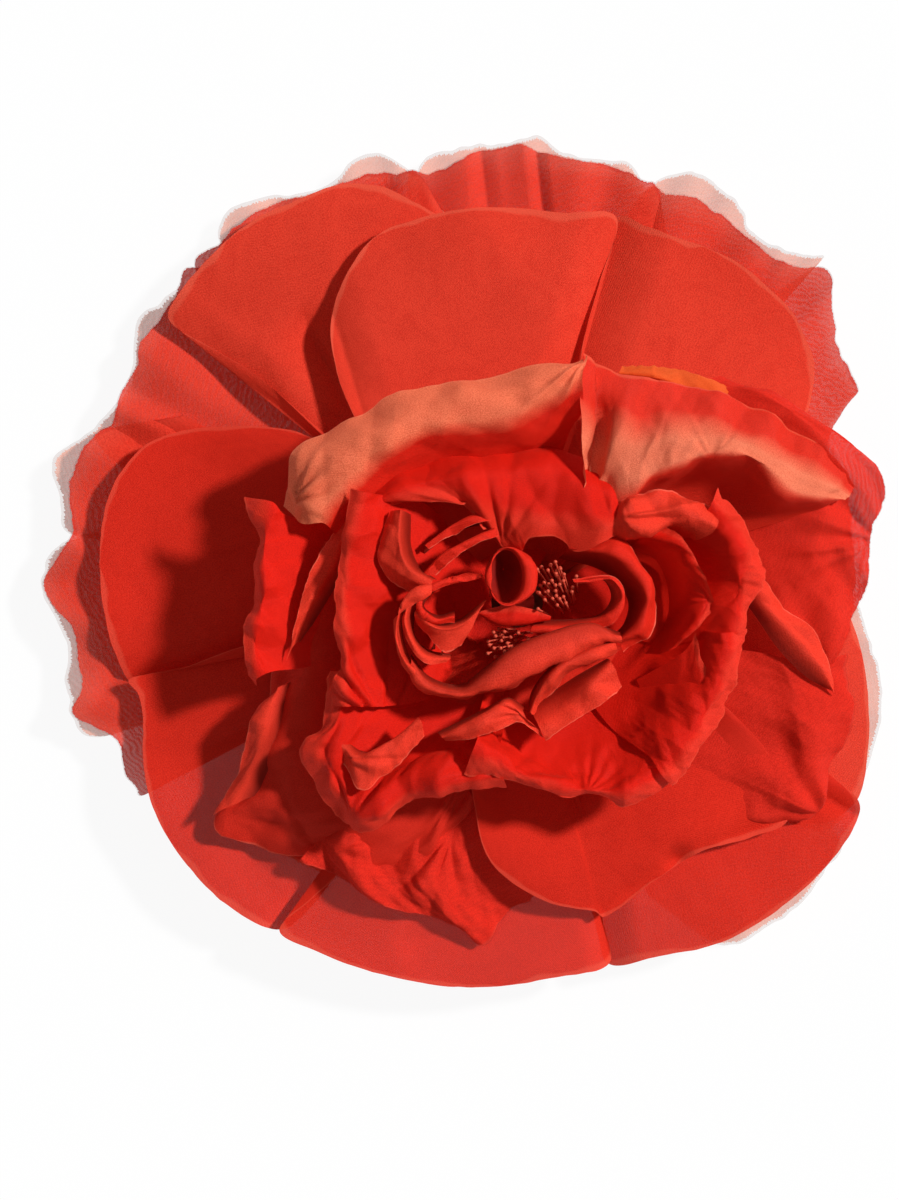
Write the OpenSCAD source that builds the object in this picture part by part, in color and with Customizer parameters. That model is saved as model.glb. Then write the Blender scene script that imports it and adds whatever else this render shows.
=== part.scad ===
// Large fabric rose on a beak hair clip.
// +Z is the way the open flower faces. The origin is under the middle of the flower's outline,
// on the surface that the clip's tail and the lowest petals lie on. Millimetres.

/* [Flower] */
// Longest reach of the pale underlay petals, from the flower's heart
underlay_reach = 114; // [95:1:135]
// Longest reach of the wavy-edged petals
wavy_reach = 111; // [92:1:130]
// Longest reach of the smooth round petals
round_reach = 107; // [88:1:125]
// Longest reach of the spreading middle petals
spread_reach = 90; // [76:1:104]
// Longest reach of the standing middle petals
standing_reach = 70; // [60:1:84]
// Radius of the inner cup at its rim
cup_reach = 50; // [43:1:60]
// Height of the heart's curls above the cup's floor
heart_height = 27; // [22:1:33]
// Sideways place of the heart, from the middle of the outline
heart_x = 12.5; // [0:0.5:20]
// Lengthways place of the heart, from the middle of the outline
heart_y = -10; // [-20:0.5:0]

/* [Cloth] */
// Thickness of one petal, two plies with their air
cloth_t = 0.45; // [0.35:0.01:0.6]
// Air between one petal and the next
cloth_gap = 0.35; // [0.3:0.01:0.5]

/* [Backing] */
// Radius of the bound stem that the petals are sewn round
stem_r = 4; // [3:0.1:5]
// Clearance between the stem and a petal's claw
stem_gap = 0.3; // [0.2:0.05:0.5]
// Radius of the felt pad
felt_r = 25; // [18:0.5:32]
// Thickness of the felt pad
felt_t = 2; // [1:0.1:3]
// Radius of the buckram disc
disc_r = 22; // [15:0.5:30]
// Thickness of the buckram disc
disc_t = 1.2; // [0.8:0.1:2]

/* [Clip] */
// Length of the jaws, from the hinge pin to the tip
jaw_len = 46; // [36:1:56]
// Length of the tails, from the hinge pin to the end
tail_len = 22; // [17:1:27]
// Width of the fixed arm over its ears
arm_w = 11.6; // [9.6:0.1:14]
// Thickness of the sheet metal
sheet_t = 0.8; // [0.6:0.05:1]
// Gap between the closed jaws, which the teeth fill
jaw_gap = 1.9; // [1.5:0.1:2.3]
// Angle that the moving tail is bent away by
tail_bend = 24; // [20:1:30]
// Distance from the heart to the hinge pin
hinge_offset = 8; // [4:1:12]
// Radius of the hinge pin
pin_r = 0.8; // [0.6:0.05:0.95]
// Running clearance round the pin in the moving ears
pin_play = 0.05; // [0.02:0.01:0.08]
// Thickness of the spring wire
wire_d = 0.8; // [0.6:0.05:0.9]
// Number of turns in the spring
spring_turns = 6; // [4:1:8]

/* [Stamens] */
// Radius of a filament
filament_r = 0.3; // [0.25:0.01:0.4]
// Radius of a pip
pip_r = 0.6; // [0.45:0.01:0.7]
// Height of the tallest stamens
stamen_h = 17; // [13:1:21]

/* [Hidden] */
$fn = 48;
pitch = cloth_t + cloth_gap;
part_gap = 0.3;

// The clip's heights, from the moving tail's end up
ear_r = 3;
plate_drop = 2.2;
tail_top = plate_drop - jaw_gap;
pin_z = tail_len * sin(tail_bend) + (sheet_t - tail_top) * cos(tail_bend);
plate_z = pin_z + plate_drop;
tooth_h = jaw_gap - 0.08;
tooth_step = 1.6;
teeth = 5;
moving_w = arm_w - 2 * sheet_t - 0.6;
plate_start = pin_r + 1.6;
felt_z = plate_z + sheet_t;
disc_z = felt_z + felt_t;
stem_z = disc_z + disc_t;
coil_r = pin_r + 0.35 + wire_d / 2;
coil_w = spring_turns * wire_d;
leg_len = 13;
stitch_d = 0.5;
stitch_spots = [-22, -13, -4, 23];

// Petals, one row each: angle round the heart, how much shorter than the layer's reach,
// half width, and level in the layer, 0 lowest
UNDERLAY = [
    [-14, 25, 30, 1], [-47, 17, 28, 0], [67, 4, 30, 0], [89, 3, 30, 1],
    [117, 0, 28, 2], [164, 0, 28, 0], [186, 2, 28, 1]
];
WAVY = [
    [12, 27, 34, 2], [46, 3, 36, 1], [86, 4, 32, 0], [117, 2, 28, 2], [142, 0, 32, 1],
    [181, 0, 44, 0]
];
ROUND = [
    [54, 15, 34, 2], [98, 13, 33, 3], [124, 0, 35, 1], [172, 8, 29, 0], [217, 8, 35, 1],
    [238, 35, 26, 4], [261, 15, 35, 2], [292, 31, 32, 3], [311, 14, 32, 1], [345, 21, 32, 0]
];
SPREAD = [[5, 4, 33, 1], [-30, 0, 22, 0], [226, 10, 27, 1], [252, 10, 23, 0]];
STANDING = [[112, 10, 40, 1], [44, 0, 36, 0], [178, 4, 24, 0]];
CUP = [[178, 32, 0], [226, 28, 1], [285, 30, 2], [322, 24, 1], [2, 30, 0], [42, 26, 1], [120, 34, 2]];

// Heights of the layers at the stem, each on the one below
underlay_z = stem_z + part_gap;
wavy_z = underlay_z + 3 * pitch;
round_z = wavy_z + 3 * pitch;
spread_z = round_z + 5 * pitch;
standing_z = spread_z + 2 * pitch;
cup_z = standing_z + 4.5 * pitch;
floor_z = cup_z + cloth_t;
curl_z = floor_z + part_gap;

// Where each layer starts to bend, where it has bent, and how far down or up
clip_span = jaw_len - hinge_offset;
underlay_bend = [clip_span + 4, clip_span + 42, 1.2 - underlay_z];
wavy_bend = [clip_span + 6, clip_span + 48, 5.2 - wavy_z];
round_bend = [clip_span + 8, clip_span + 54, 11 - round_z];
cup_floor_r = 16;
cup_lean = 75;
cup_arc_r = (cup_reach - cup_floor_r) / sin(cup_lean);
spread_bend = [cup_floor_r + 14, cup_floor_r + 50, 8];
standing_bend = [cup_floor_r + 12, cup_floor_r + 48, 20];
bend_steps = 7;
far_r = 160;

function ease(t) = t <= 0 ? 0 : t >= 1 ? 1 : t * t * (3 - 2 * t);
function bent(z, bend, r) = z + bend[2] * ease((r - bend[0]) / (bend[1] - bend[0]));
function bend_radii(bend) = [for (i = [0:bend_steps]) bend[0] + (bend[1] - bend[0]) * i / bend_steps];

// Puts what follows on the flower's own axis
module at_heart() translate([heart_x, heart_y, 0]) children();

// Outline of one petal from above: two straight sides from the claw, then a round end
module petal_outline(angle, reach, half_w, waves = 0, depth = 0) {
    round_len = min(half_w, reach * 0.48);
    middle = reach - round_len;
    arc = [for (s = [-110:10:110])
        let (k = 1 - depth * (1 - cos(waves * s)) / (2 * half_w))
        [middle + round_len * k * cos(s), half_w * k * sin(s)]];
    rotate(angle) polygon(concat([[0.5, -1]], arc, [[0.5, 1]]));
}

// Solid of revolution with the layer's curve, wide enough for any petal
module layer_shell(z, bend) {
    radii = concat([stem_r + stem_gap], bend_radii(bend), [far_r]);
    low = [for (r = radii) [r, bent(z, bend, r)]];
    high = [for (i = [len(radii) - 1:-1:0]) [radii[i], bent(z, bend, radii[i]) + cloth_t]];
    rotate_extrude() polygon(concat(low, high));
}

// One petal: the layer's shell, cut to the petal's outline
module petal(row, reach, z, bend, waves = 0, depth = 0) {
    at_heart() intersection() {
        rotate(row[0] + 180) layer_shell(z + row[3] * pitch, bend);
        linear_extrude(height = 80)
            petal_outline(row[0], reach - row[1], row[2], waves, depth);
    }
}

module underlay_petal(i) {
    color([0.85, 0.62, 0.54]) petal(UNDERLAY[i - 1], underlay_reach, underlay_z, underlay_bend, 5, 3);
}

module wavy_petal(i) {
    color([0.86, 0.29, 0.2]) petal(WAVY[i - 1], wavy_reach, wavy_z, wavy_bend, 9, 5);
}

module round_petal(i) {
    color([0.85, 0.24, 0.16]) petal(ROUND[i - 1], round_reach, round_z, round_bend);
}

module spread_petal(i) {
    color([0.84, 0.16, 0.1]) petal(SPREAD[i - 1], spread_reach, spread_z, spread_bend, 3, 4);
}

module standing_petal(i) {
    color([0.92, 0.42, 0.3]) petal(STANDING[i - 1], standing_reach, standing_z, standing_bend, 2, 4);
}

// Cup wall: a flat floor round the stem, then an arc that stands up; lower levels lie outside
module cup_shell(level) {
    out = level * pitch;
    middle_z = cup_z + cup_arc_r;
    outer_r = cup_arc_r + out + cloth_t;
    inner_r = cup_arc_r + out;
    angles = [for (i = [0:bend_steps]) cup_lean * i / bend_steps];
    outer = [for (a = angles) [cup_floor_r + outer_r * sin(a), middle_z - outer_r * cos(a)]];
    inner = [for (i = [bend_steps:-1:0])
        [cup_floor_r + inner_r * sin(angles[i]), middle_z - inner_r * cos(angles[i])]];
    claw = stem_r + stem_gap;
    rotate_extrude()
        polygon(concat([[claw, middle_z - outer_r]], outer, inner, [[claw, middle_z - inner_r]]));
}

module cup_petal(i) {
    row = CUP[i - 1];
    color([0.82, 0.12, 0.08]) at_heart() intersection() {
        rotate(row[0] + 180) cup_shell(row[2]);
        linear_extrude(height = 80) petal_outline(row[0], cup_reach + 20, row[1]);
    }
}

// How far the cup's inner face has risen over its floor, at a distance from the heart
function cup_rise(r) =
    cup_arc_r - sqrt(cup_arc_r * cup_arc_r - pow(max(0, r - cup_floor_r), 2));

// Upright curl of cloth round its own middle, open over the rest of the turn; it stands on the
// cup's floor, or as high as the cup has risen where the curl reaches furthest out, less the
// levels that the petals under it lie below the innermost one
module curl(x, y, r, from, turn, h, level = 0) {
    lift = cup_rise(norm([x, y]) + r + cloth_t) - level * pitch;
    translate([heart_x + x, heart_y + y, curl_z + lift]) rotate(from)
        rotate_extrude(angle = turn) translate([r, 0]) square([cloth_t, h - lift]);
}

heart_red = [0.72, 0.1, 0.07];

module heart_tube() color(heart_red) curl(1.5, 9, 6.2, 100, 330, heart_height);

module heart_loop() color(heart_red) curl(20, 1, 9.5, -150, 300, heart_height - 3);

module heart_band() color(heart_red) curl(2, 0, 20.5, 205, 120, heart_height - 6);

module heart_fold() color(heart_red) curl(-17, -3, 8.5, 80, 190, heart_height - 4);

module heart_fan() color(heart_red) curl(4, 2, 20, 65, 80, heart_height - 8, 1);

// Tuft of stamens: upright wires set apart in a bound foot, leaning outwards, each with a pip
module stamens(x, y, count, lean, h, level = 0) {
    foot_h = 3;
    wire_step = 1.15;
    foot_r = wire_step * sqrt(count) + 0.6;
    color([0.9, 0.45, 0.38]) translate([heart_x + x, heart_y + y, curl_z - level * pitch]) {
        cylinder(r = foot_r, h = foot_h);
        for (i = [0:count - 1]) {
            out = wire_step * sqrt(i + 0.4);
            length = h - foot_h - 1.5 * (i % 3);
            rotate(i * 137.5) translate([out, 0, foot_h - 0.5]) rotate([0, lean * out / foot_r, 0]) {
                cylinder(r = filament_r, h = length);
                translate([0, 0, length]) sphere(r = pip_r);
            }
        }
    }
}

module stamens_back() stamens(9.5, 0.5, 9, 12, stamen_h);

module stamens_front() stamens(0, -9, 9, 16, stamen_h - 2, 1);

module stamens_side() stamens(-16, -4, 7, 10, stamen_h - 1);

module bound_stem() {
    color([0.55, 0.08, 0.06]) at_heart() translate([0, 0, stem_z]) cylinder(r = stem_r, h = floor_z - stem_z);
}

module buckram_disc() {
    color([0.85, 0.78, 0.68]) at_heart() translate([0, 0, disc_z]) cylinder(r = disc_r, h = disc_t);
}

module felt_pad() {
    color([0.62, 0.1, 0.08]) at_heart() translate([0, 0, felt_z]) cylinder(r = felt_r, h = felt_t);
}

// Thread loops over the fixed arm, up to the pad on both sides
module arm_stitches() {
    half = arm_w / 2 + 0.15 + stitch_d;
    color([0.5, 0.06, 0.05]) at_heart()
        for (x = stitch_spots) translate([x, 0, plate_z - 0.05 - stitch_d]) difference() {
            translate([-stitch_d / 2, -half, 0]) cube([stitch_d, 2 * half, felt_z - plate_z + 0.05 + stitch_d]);
            translate([-stitch_d, -half + stitch_d, stitch_d])
                cube([2 * stitch_d, 2 * (half - stitch_d), sheet_t + 1]);
        }
}

// The hinge's own frame: the pin's axis along Y, the tails towards +X
module at_hinge() translate([heart_x + hinge_offset, heart_y, pin_z]) children();

// Cylinder along Y, centred on the hinge line
module across(r, w, y = 0) translate([0, y + w / 2, 0]) rotate([90, 0, 0]) cylinder(r = r, h = w);

// Flat strip from x0 to x1 with a round end
module strip(x0, x1, w, z) {
    way = x1 > x0 ? 1 : -1;
    translate([0, 0, z]) linear_extrude(height = sheet_t) {
        translate([min(x0, x1 - way * w / 2), -w / 2]) square([abs(x1 - way * w / 2 - x0), w]);
        translate([x1 - way * w / 2, 0]) circle(d = w);
    }
}

module fixed_arm() {
    ear_y = arm_w / 2 - sheet_t / 2;
    color([0.72, 0.72, 0.74]) at_hinge() difference() {
        union() {
            strip(0, -jaw_len, arm_w, plate_drop);
            strip(-0.01, tail_len, arm_w, plate_drop);
            for (y = [-ear_y, ear_y]) {
                across(ear_r, sheet_t, y);
                translate([-ear_r, y - sheet_t / 2, 0]) cube([2 * ear_r, sheet_t, plate_drop + sheet_t / 2]);
            }
        }
        across(pin_r + 0.01, arm_w + 2);
    }
}

// Side plate of the moving arm: a hub with a bar along the jaw and one along the bent tail
module moving_ear() {
    hub_r = pin_r + 1.35;
    bar_start = pin_r + 0.7;
    bar_low = tail_top - sheet_t + 0.15;
    bar_w = sheet_t + 0.75;
    bar_len = plate_start + 4 - bar_start;
    rotate([90, 0, 0]) linear_extrude(height = sheet_t, center = true) difference() {
        union() {
            circle(r = hub_r);
            translate([-bar_start - bar_len, bar_low]) square([bar_len, bar_w]);
            rotate(-tail_bend) translate([bar_start, bar_low]) square([bar_len, bar_w]);
        }
        circle(r = pin_r + pin_play);
    }
}

module moving_arm() {
    ear_y = moving_w / 2 - sheet_t / 2;
    strip_w = moving_w - 0.4;
    color([0.68, 0.68, 0.7]) at_hinge() {
        strip(-plate_start, -jaw_len, strip_w, tail_top - sheet_t);
        rotate([0, tail_bend, 0]) strip(plate_start, tail_len, strip_w, tail_top - sheet_t);
        for (y = [-ear_y, ear_y]) translate([0, y, 0]) moving_ear();
        for (i = [0:teeth - 1])
            translate([-jaw_len + moving_w / 2 + i * tooth_step, moving_w / 2 - 0.6, tail_top])
                rotate([90, 0, 0]) linear_extrude(height = moving_w - 1.2)
                    polygon([[0, -0.1], [tooth_step * 0.9, -0.1], [tooth_step * 0.45, tooth_h]]);
    }
}

module hinge_pin() {
    head_t = 0.5;
    color([0.6, 0.6, 0.62]) at_hinge() {
        across(pin_r, arm_w + 2 * head_t);
        for (side = [-1, 1]) across(pin_r + 0.5, head_t, side * (arm_w / 2 + head_t / 2 + 0.02));
    }
}

// Closed coil round the pin, one rounded ridge a turn, and its leg that bears on the fixed arm
module spring_coil() {
    inner_r = coil_r - wire_d / 2;
    outer_r = coil_r + wire_d / 2;
    leg_start = sqrt(outer_r * outer_r - inner_r * inner_r) + 0.1;
    ridge = [[0, 0.55], [0.2, 0.88], [0.5, 1], [0.8, 0.88]];
    outer = [for (i = [0:spring_turns - 1], p = ridge)
        [inner_r + wire_d * p[1], (i + p[0]) * wire_d - coil_w / 2]];
    color([0.5, 0.5, 0.52]) at_hinge() {
        rotate([90, 0, 0]) rotate_extrude()
            polygon(concat([[inner_r, -coil_w / 2]], outer,
                [[inner_r + wire_d * 0.55, coil_w / 2], [inner_r, coil_w / 2]]));
        translate([leg_start, (coil_w - wire_d) / 2, coil_r]) rotate([0, 90, 0])
            cylinder(d = wire_d, h = leg_len - leg_start);
    }
}

// The wire's other leg, which bears on the moving tail
module spring_leg() {
    start = coil_r + wire_d / 2 + part_gap;
    lift = tail_top + 0.1 + wire_d / 2;
    color([0.5, 0.5, 0.52]) at_hinge() rotate([0, tail_bend, 0])
        translate([start, (wire_d - coil_w) / 2, lift]) rotate([0, 90, 0])
            cylinder(d = wire_d, h = leg_len - start);
}

for (i = [1:len(UNDERLAY)]) underlay_petal(i);
for (i = [1:len(WAVY)]) wavy_petal(i);
for (i = [1:len(ROUND)]) round_petal(i);
for (i = [1:len(SPREAD)]) spread_petal(i);
for (i = [1:len(STANDING)]) standing_petal(i);
for (i = [1:len(CUP)]) cup_petal(i);
heart_tube();
heart_loop();
heart_band();
heart_fold();
heart_fan();
stamens_back();
stamens_front();
stamens_side();
bound_stem();
buckram_disc();
felt_pad();
arm_stitches();
fixed_arm();
moving_arm();
hinge_pin();
spring_coil();
spring_leg();
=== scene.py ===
# %% [markdown]
# # A silk rose on a hair clip
# The flower is fifty-nine pieces of cloth sewn round one bound stem: sheer rounds at the back,
# crisp folded petals in the middle, and a crumpled heart. The clip behind it is bent sheet metal.
# The clip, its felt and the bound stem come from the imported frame. A petal could be carved from
# a solid, but a grid of cloth that is laid along its outline, or bent through a few rows of
# points, folds as silk does, so every petal is made that way.

# %% Load the frame
import math

import bpy
import numpy as np
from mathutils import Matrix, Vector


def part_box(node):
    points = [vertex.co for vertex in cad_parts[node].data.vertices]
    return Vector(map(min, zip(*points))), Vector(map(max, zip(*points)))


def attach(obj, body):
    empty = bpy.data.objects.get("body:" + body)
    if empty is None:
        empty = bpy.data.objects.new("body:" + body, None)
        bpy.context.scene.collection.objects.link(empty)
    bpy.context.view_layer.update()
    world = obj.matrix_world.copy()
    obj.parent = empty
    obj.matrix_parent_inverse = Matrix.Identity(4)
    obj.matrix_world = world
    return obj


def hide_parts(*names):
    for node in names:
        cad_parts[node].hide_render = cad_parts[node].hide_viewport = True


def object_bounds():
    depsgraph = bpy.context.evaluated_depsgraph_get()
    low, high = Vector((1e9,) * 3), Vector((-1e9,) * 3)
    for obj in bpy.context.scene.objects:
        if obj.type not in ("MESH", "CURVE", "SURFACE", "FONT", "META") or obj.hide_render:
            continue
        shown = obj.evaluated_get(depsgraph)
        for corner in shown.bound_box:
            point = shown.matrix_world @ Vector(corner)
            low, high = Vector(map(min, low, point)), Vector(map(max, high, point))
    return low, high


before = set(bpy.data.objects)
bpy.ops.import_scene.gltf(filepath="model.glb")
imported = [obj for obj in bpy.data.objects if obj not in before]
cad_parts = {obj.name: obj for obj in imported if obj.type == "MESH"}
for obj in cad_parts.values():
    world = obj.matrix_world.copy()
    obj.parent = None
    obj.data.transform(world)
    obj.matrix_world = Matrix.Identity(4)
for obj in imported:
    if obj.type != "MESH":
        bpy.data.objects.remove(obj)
cad_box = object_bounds()
MM = 0.001
stem_low, stem_high = (np.array(c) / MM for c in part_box("bound_stem"))
HEART = (stem_low[:2] + stem_high[:2]) / 2
FLOWER = "flower_and_fixed_arm"
print("heart of the flower at", HEART.round(1), "mm")

# %% [markdown]
# ## Numbers that look like cloth
# Cloth is never quite smooth. A soft noise gives slow waves, and a folded noise, which turns
# over sharply at its middle value, gives the straight creases of crisp silk. Both are plain
# arithmetic on whole arrays, so a petal of thousands of points takes no time.

# %% Noise for folds
def lattice(ix, iy, seed):
    """A fixed random number from 0 to 1 for each crossing of a square grid."""
    value = np.sin(ix * 127.1 + iy * 311.7 + seed * 74.7) * 43758.5453
    return value - np.floor(value)


def soft_noise(x, y, seed):
    """Smooth noise from 0 to 1 with features about one unit across."""
    ix, iy = np.floor(x), np.floor(y)
    fx, fy = x - ix, y - iy
    fx, fy = fx * fx * (3 - 2 * fx), fy * fy * (3 - 2 * fy)
    near = lattice(ix, iy, seed) * (1 - fx) + lattice(ix + 1, iy, seed) * fx
    far = lattice(ix, iy + 1, seed) * (1 - fx) + lattice(ix + 1, iy + 1, seed) * fx
    return near * (1 - fy) + far * fy


def crease_noise(x, y, seed):
    """Noise from 0 to 1 with sharp ridges, as where crisp cloth has been folded."""
    return 1 - np.abs(2 * soft_noise(x, y, seed) - 1)


def facets(s, t, size, seed, spread=1.2):
    """Flat facets between sharp folds that run mostly along t; the slope of each wave is one."""
    total = 0
    for k in range(5):
        way = (lattice(k, 1.0, seed) - 0.5) * 2 * spread
        length = size * (0.6 + lattice(k, 2.0, seed))
        wander = 3.5 * soft_noise(s / 12 + k, t / 12, seed + k)
        w = (s * math.cos(way) + t * math.sin(way) + wander) / length + lattice(k, 3.0, seed)
        total = total + length * (np.abs(w - np.round(w)) - 0.25)
    return total


print("noise at a crossing:", round(float(soft_noise(2.0, 3.0, 1)), 3))

# %% [markdown]
# ## Smooth steps and smooth curves
# A petal's outline and its folds are given by a few points. Blender's own curves could join
# them, but a formula on arrays gives all the points of a grid at once, so we write our own.

# %% Ease and spline
def ease(t):
    """A smooth step: 0 up to t = 0, and 1 from t = 1 on."""
    t = np.clip(t, 0, 1)
    return t * t * (3 - 2 * t)


def spline(points, t):
    """Smooth curve through the points, read at places t from 0 to 1 (Catmull-Rom)."""
    points = np.asarray(points, float)
    ends = [2 * points[0] - points[1]], [2 * points[-1] - points[-2]]
    p = np.concatenate([ends[0], points, ends[1]])
    s = np.clip(t, 0, 1) * (len(points) - 1)
    i = np.minimum(s.astype(int), len(points) - 2)
    f = (s - i).reshape((-1,) + (1,) * (points.ndim - 1))
    a, b, c, d = p[i], p[i + 1], p[i + 2], p[i + 3]
    return b + 0.5 * f * (c - a + f * (2 * a - 5 * b + 4 * c - d + f * (3 * (b - c) + d - a)))


arch = spline([(0, 0), (4, 2), (8, 0)], np.array([0.25]))
print("an arch at a quarter of its length:", arch.round(2))

# %% [markdown]
# ## From a grid to a petal
# Every petal starts as Blender's own grid primitive. Its first row is the claw, where it is sewn,
# its last row is the rim, and its columns run between them. The shaping step only moves points,
# so the grid keeps its order, and two UV maps can record the flat cloth: "cloth" in centimetres
# for the weave, and "place" for how far a point lies across the petal and from claw to rim.

# %% Grids and maps
def write_uv(mesh, name, values):
    layer = mesh.uv_layers.get(name) or mesh.uv_layers.new(name=name)
    corner = np.empty(len(mesh.loops), dtype=np.int32)
    mesh.loops.foreach_get("vertex_index", corner)
    layer.uv.foreach_set("vector", np.ascontiguousarray(values[corner], dtype=np.float32).ravel())


def cloth_grid(name, across, along):
    bpy.ops.object.select_all(action="DESELECT")
    bpy.ops.mesh.primitive_grid_add(x_subdivisions=across, y_subdivisions=along, size=2)
    obj = bpy.context.object
    obj.name = obj.data.name = name
    return obj


def surface_normals(points):
    """Normals of a grid of points, rows by columns."""
    normal = np.cross(np.gradient(points, axis=1), np.gradient(points, axis=0))
    return normal / np.maximum(np.linalg.norm(normal, axis=2, keepdims=True), 1e-9)


def arc_lengths(points, axis):
    step = np.linalg.norm(np.diff(points, axis=axis), axis=2)
    start = np.zeros_like(np.take(step, [0], axis=axis))
    return np.concatenate([start, np.cumsum(step, axis=axis)], axis=axis)


quarter = arc_lengths(np.array([[(0, 0, 0), (3, 0, 0), (3, 4, 0)]], float), 1)
print("lengths along a bent row:", quarter[0])

# %% [markdown]
# ## A sheet and its flat pattern
# A milliner cuts each petal from a flat piece, so each sheet is measured for that piece's size: its area
# is the sum of its faces, its length is that of a typical column, and its width follows, because a petal's
# outline fills about four fifths of its rectangle.

# %% Make a sheet of cloth
SHEETS = []
SHORTEST = 0.011      # metres; no flat pattern is given as shorter
PATTERN_FILL = 0.8    # share of its rectangle that a petal's outline fills


def make_sheet(name, points, material, node_name):
    """Writes rows by columns of points, in millimetres, into a grid primitive."""
    rows, columns = points.shape[:2]
    obj = cloth_grid(name, columns - 1, rows - 1)
    mesh = obj.data
    mesh.vertices.foreach_set("co", (points * MM).astype(np.float32).ravel())
    u, v = np.meshgrid(np.linspace(0, 1, columns), np.linspace(0, 1, rows))
    across, along = arc_lengths(points, 1), arc_lengths(points, 0)
    across -= across[:, columns // 2:columns // 2 + 1]
    mesh.uv_layers[0].name = "cloth"
    write_uv(mesh, "cloth", np.stack([across, along], 2).reshape(-1, 2) * 0.1)
    write_uv(mesh, "place", np.stack([u, v], 2).reshape(-1, 2))
    bpy.ops.object.shade_smooth()
    mesh.materials.append(material)
    area = sum(p.area for p in mesh.polygons)
    length = max(float(np.median(along[-1])) * MM, SHORTEST)
    width = area / (PATTERN_FILL * length)
    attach(obj, FLOWER)
    if node_name:
        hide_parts(node_name)
    SHEETS.append((name, width, length, area))


print("an outline fills", PATTERN_FILL, "of its pattern")

# %% [markdown]
# ## Finishes of the cloth
# Organza is a sheer plain weave, so its alpha is less than one and its colour deepens where
# plies lie on each other. The crisp silk is opaque, but light still comes through it, which a
# Translucent BSDF gives. The weave and the rim are the same effect on every cloth, so each is a
# node group that is placed with its own numbers.

# %% Node helpers
def node(tree, kind, **values):
    made = tree.nodes.new(kind)
    for key, value in values.items():
        setattr(made, key, value)
    return made


def feed(tree, socket, value):
    """Links the socket to another node's output, or sets it to a plain value."""
    if isinstance(value, bpy.types.NodeSocket):
        tree.links.new(value, socket)
    else:
        socket.default_value = value


def maths(tree, operation, a, b=None, clamp=False):
    made = node(tree, "ShaderNodeMath", operation=operation, use_clamp=clamp)
    feed(tree, made.inputs[0], a)
    if b is not None:
        feed(tree, made.inputs[1], b)
    return made.outputs[0]


def mix_colour(tree, factor, a, b, blend="MIX"):
    made = node(tree, "ShaderNodeMix", data_type="RGBA", blend_type=blend)
    for index, value in ((0, factor), (6, a), (7, b)):
        feed(tree, made.inputs[index], value)
    return made.outputs[2]


def mix_shaders(tree, factor, a, b):
    made = node(tree, "ShaderNodeMixShader")
    for index, value in enumerate((factor, a, b)):
        feed(tree, made.inputs[index], value)
    return made.outputs[0]


def flat_noise(tree, place, **sockets):
    """Noise over a flat map; each keyword sets the noise's own socket of that name."""
    made = node(tree, "ShaderNodeTexNoise", noise_dimensions="2D")
    tree.links.new(place, made.inputs["Vector"])
    for label, value in sockets.items():
        made.inputs[label].default_value = value
    return made.outputs[0]


def add_relief(tree, shader, height, strength, depth):
    bump = node(tree, "ShaderNodeBump")
    bump.inputs["Strength"].default_value = strength
    bump.inputs["Distance"].default_value = depth
    tree.links.new(height, bump.inputs["Height"])
    tree.links.new(bump.outputs[0], shader.inputs["Normal"])


def new_group(name, uv_map, inputs, outputs):
    """An empty effect that reads one UV map: its tree, its two ends, the map, and the map split."""
    group = bpy.data.node_groups.new(name, "ShaderNodeTree")
    for label, default in inputs.items():
        socket = group.interface.new_socket(label, in_out="INPUT", socket_type="NodeSocketFloat")
        socket.default_value = default
    for label in outputs:
        group.interface.new_socket(label, in_out="OUTPUT", socket_type="NodeSocketFloat")
    given, out = node(group, "NodeGroupInput"), node(group, "NodeGroupOutput")
    place = node(group, "ShaderNodeUVMap", uv_map=uv_map).outputs[0]
    split = node(group, "ShaderNodeSeparateXYZ")
    group.links.new(place, split.inputs[0])
    return group, given.outputs, out.inputs, place, split.outputs


print("node helpers:", ", ".join(f.__name__ for f in (node, feed, maths, mix_colour, mix_shaders)))

# %% [markdown]
# ## The weave
# Silk organza is woven of fine threads, about twenty to the centimetre, with thicker slubs here
# and there. Held against the light, two plies of it show slow watered bands. A picture could
# give this, but sine waves over the flat cloth's own centimetres stay sharp at any distance.

# %% The weave group
THREADS_PER_CM = 22.0


def build_weave():
    """Warp and weft threads on the flat cloth, with slubs, a grain and a slow watered pattern."""
    group, given, out, place, flat = new_group(
        "weave", "cloth", {"Threads per cm": THREADS_PER_CM, "Slub": 0.5},
        ["Thread", "Watered", "Grain", "Moire"])
    slub = flat_noise(group, place, Scale=5, Detail=3)
    wander = maths(group, "MULTIPLY", maths(group, "SUBTRACT", slub, 0.5), given["Slub"])
    threads = []
    for axis in (0, 1):
        turn = maths(group, "MULTIPLY", flat[axis], given["Threads per cm"])
        turn = maths(group, "MULTIPLY", maths(group, "ADD", turn, wander), 2 * math.pi)
        threads.append(maths(group, "SINE", turn))
    group.links.new(maths(group, "MULTIPLY", threads[0], threads[1]), out["Thread"])
    watered = flat_noise(group, place, Scale=1.1, Distortion=2.5)
    group.links.new(watered, out["Watered"])
    group.links.new(flat_noise(group, place, Scale=30, Detail=3, Roughness=0.7), out["Grain"])
    bands = maths(group, "MULTIPLY", watered, 2.5)
    bands = maths(group, "ADD", bands, maths(group, "MULTIPLY", flat[1], 7.0))
    bands = maths(group, "ADD", bands, maths(group, "MULTIPLY", flat[0], 3.0))
    group.links.new(maths(group, "SINE", maths(group, "MULTIPLY", bands, 2 * math.pi)), out["Moire"])
    return group


WEAVE = build_weave()
print("node group", WEAVE.name, "with", len(WEAVE.nodes), "nodes")
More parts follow.
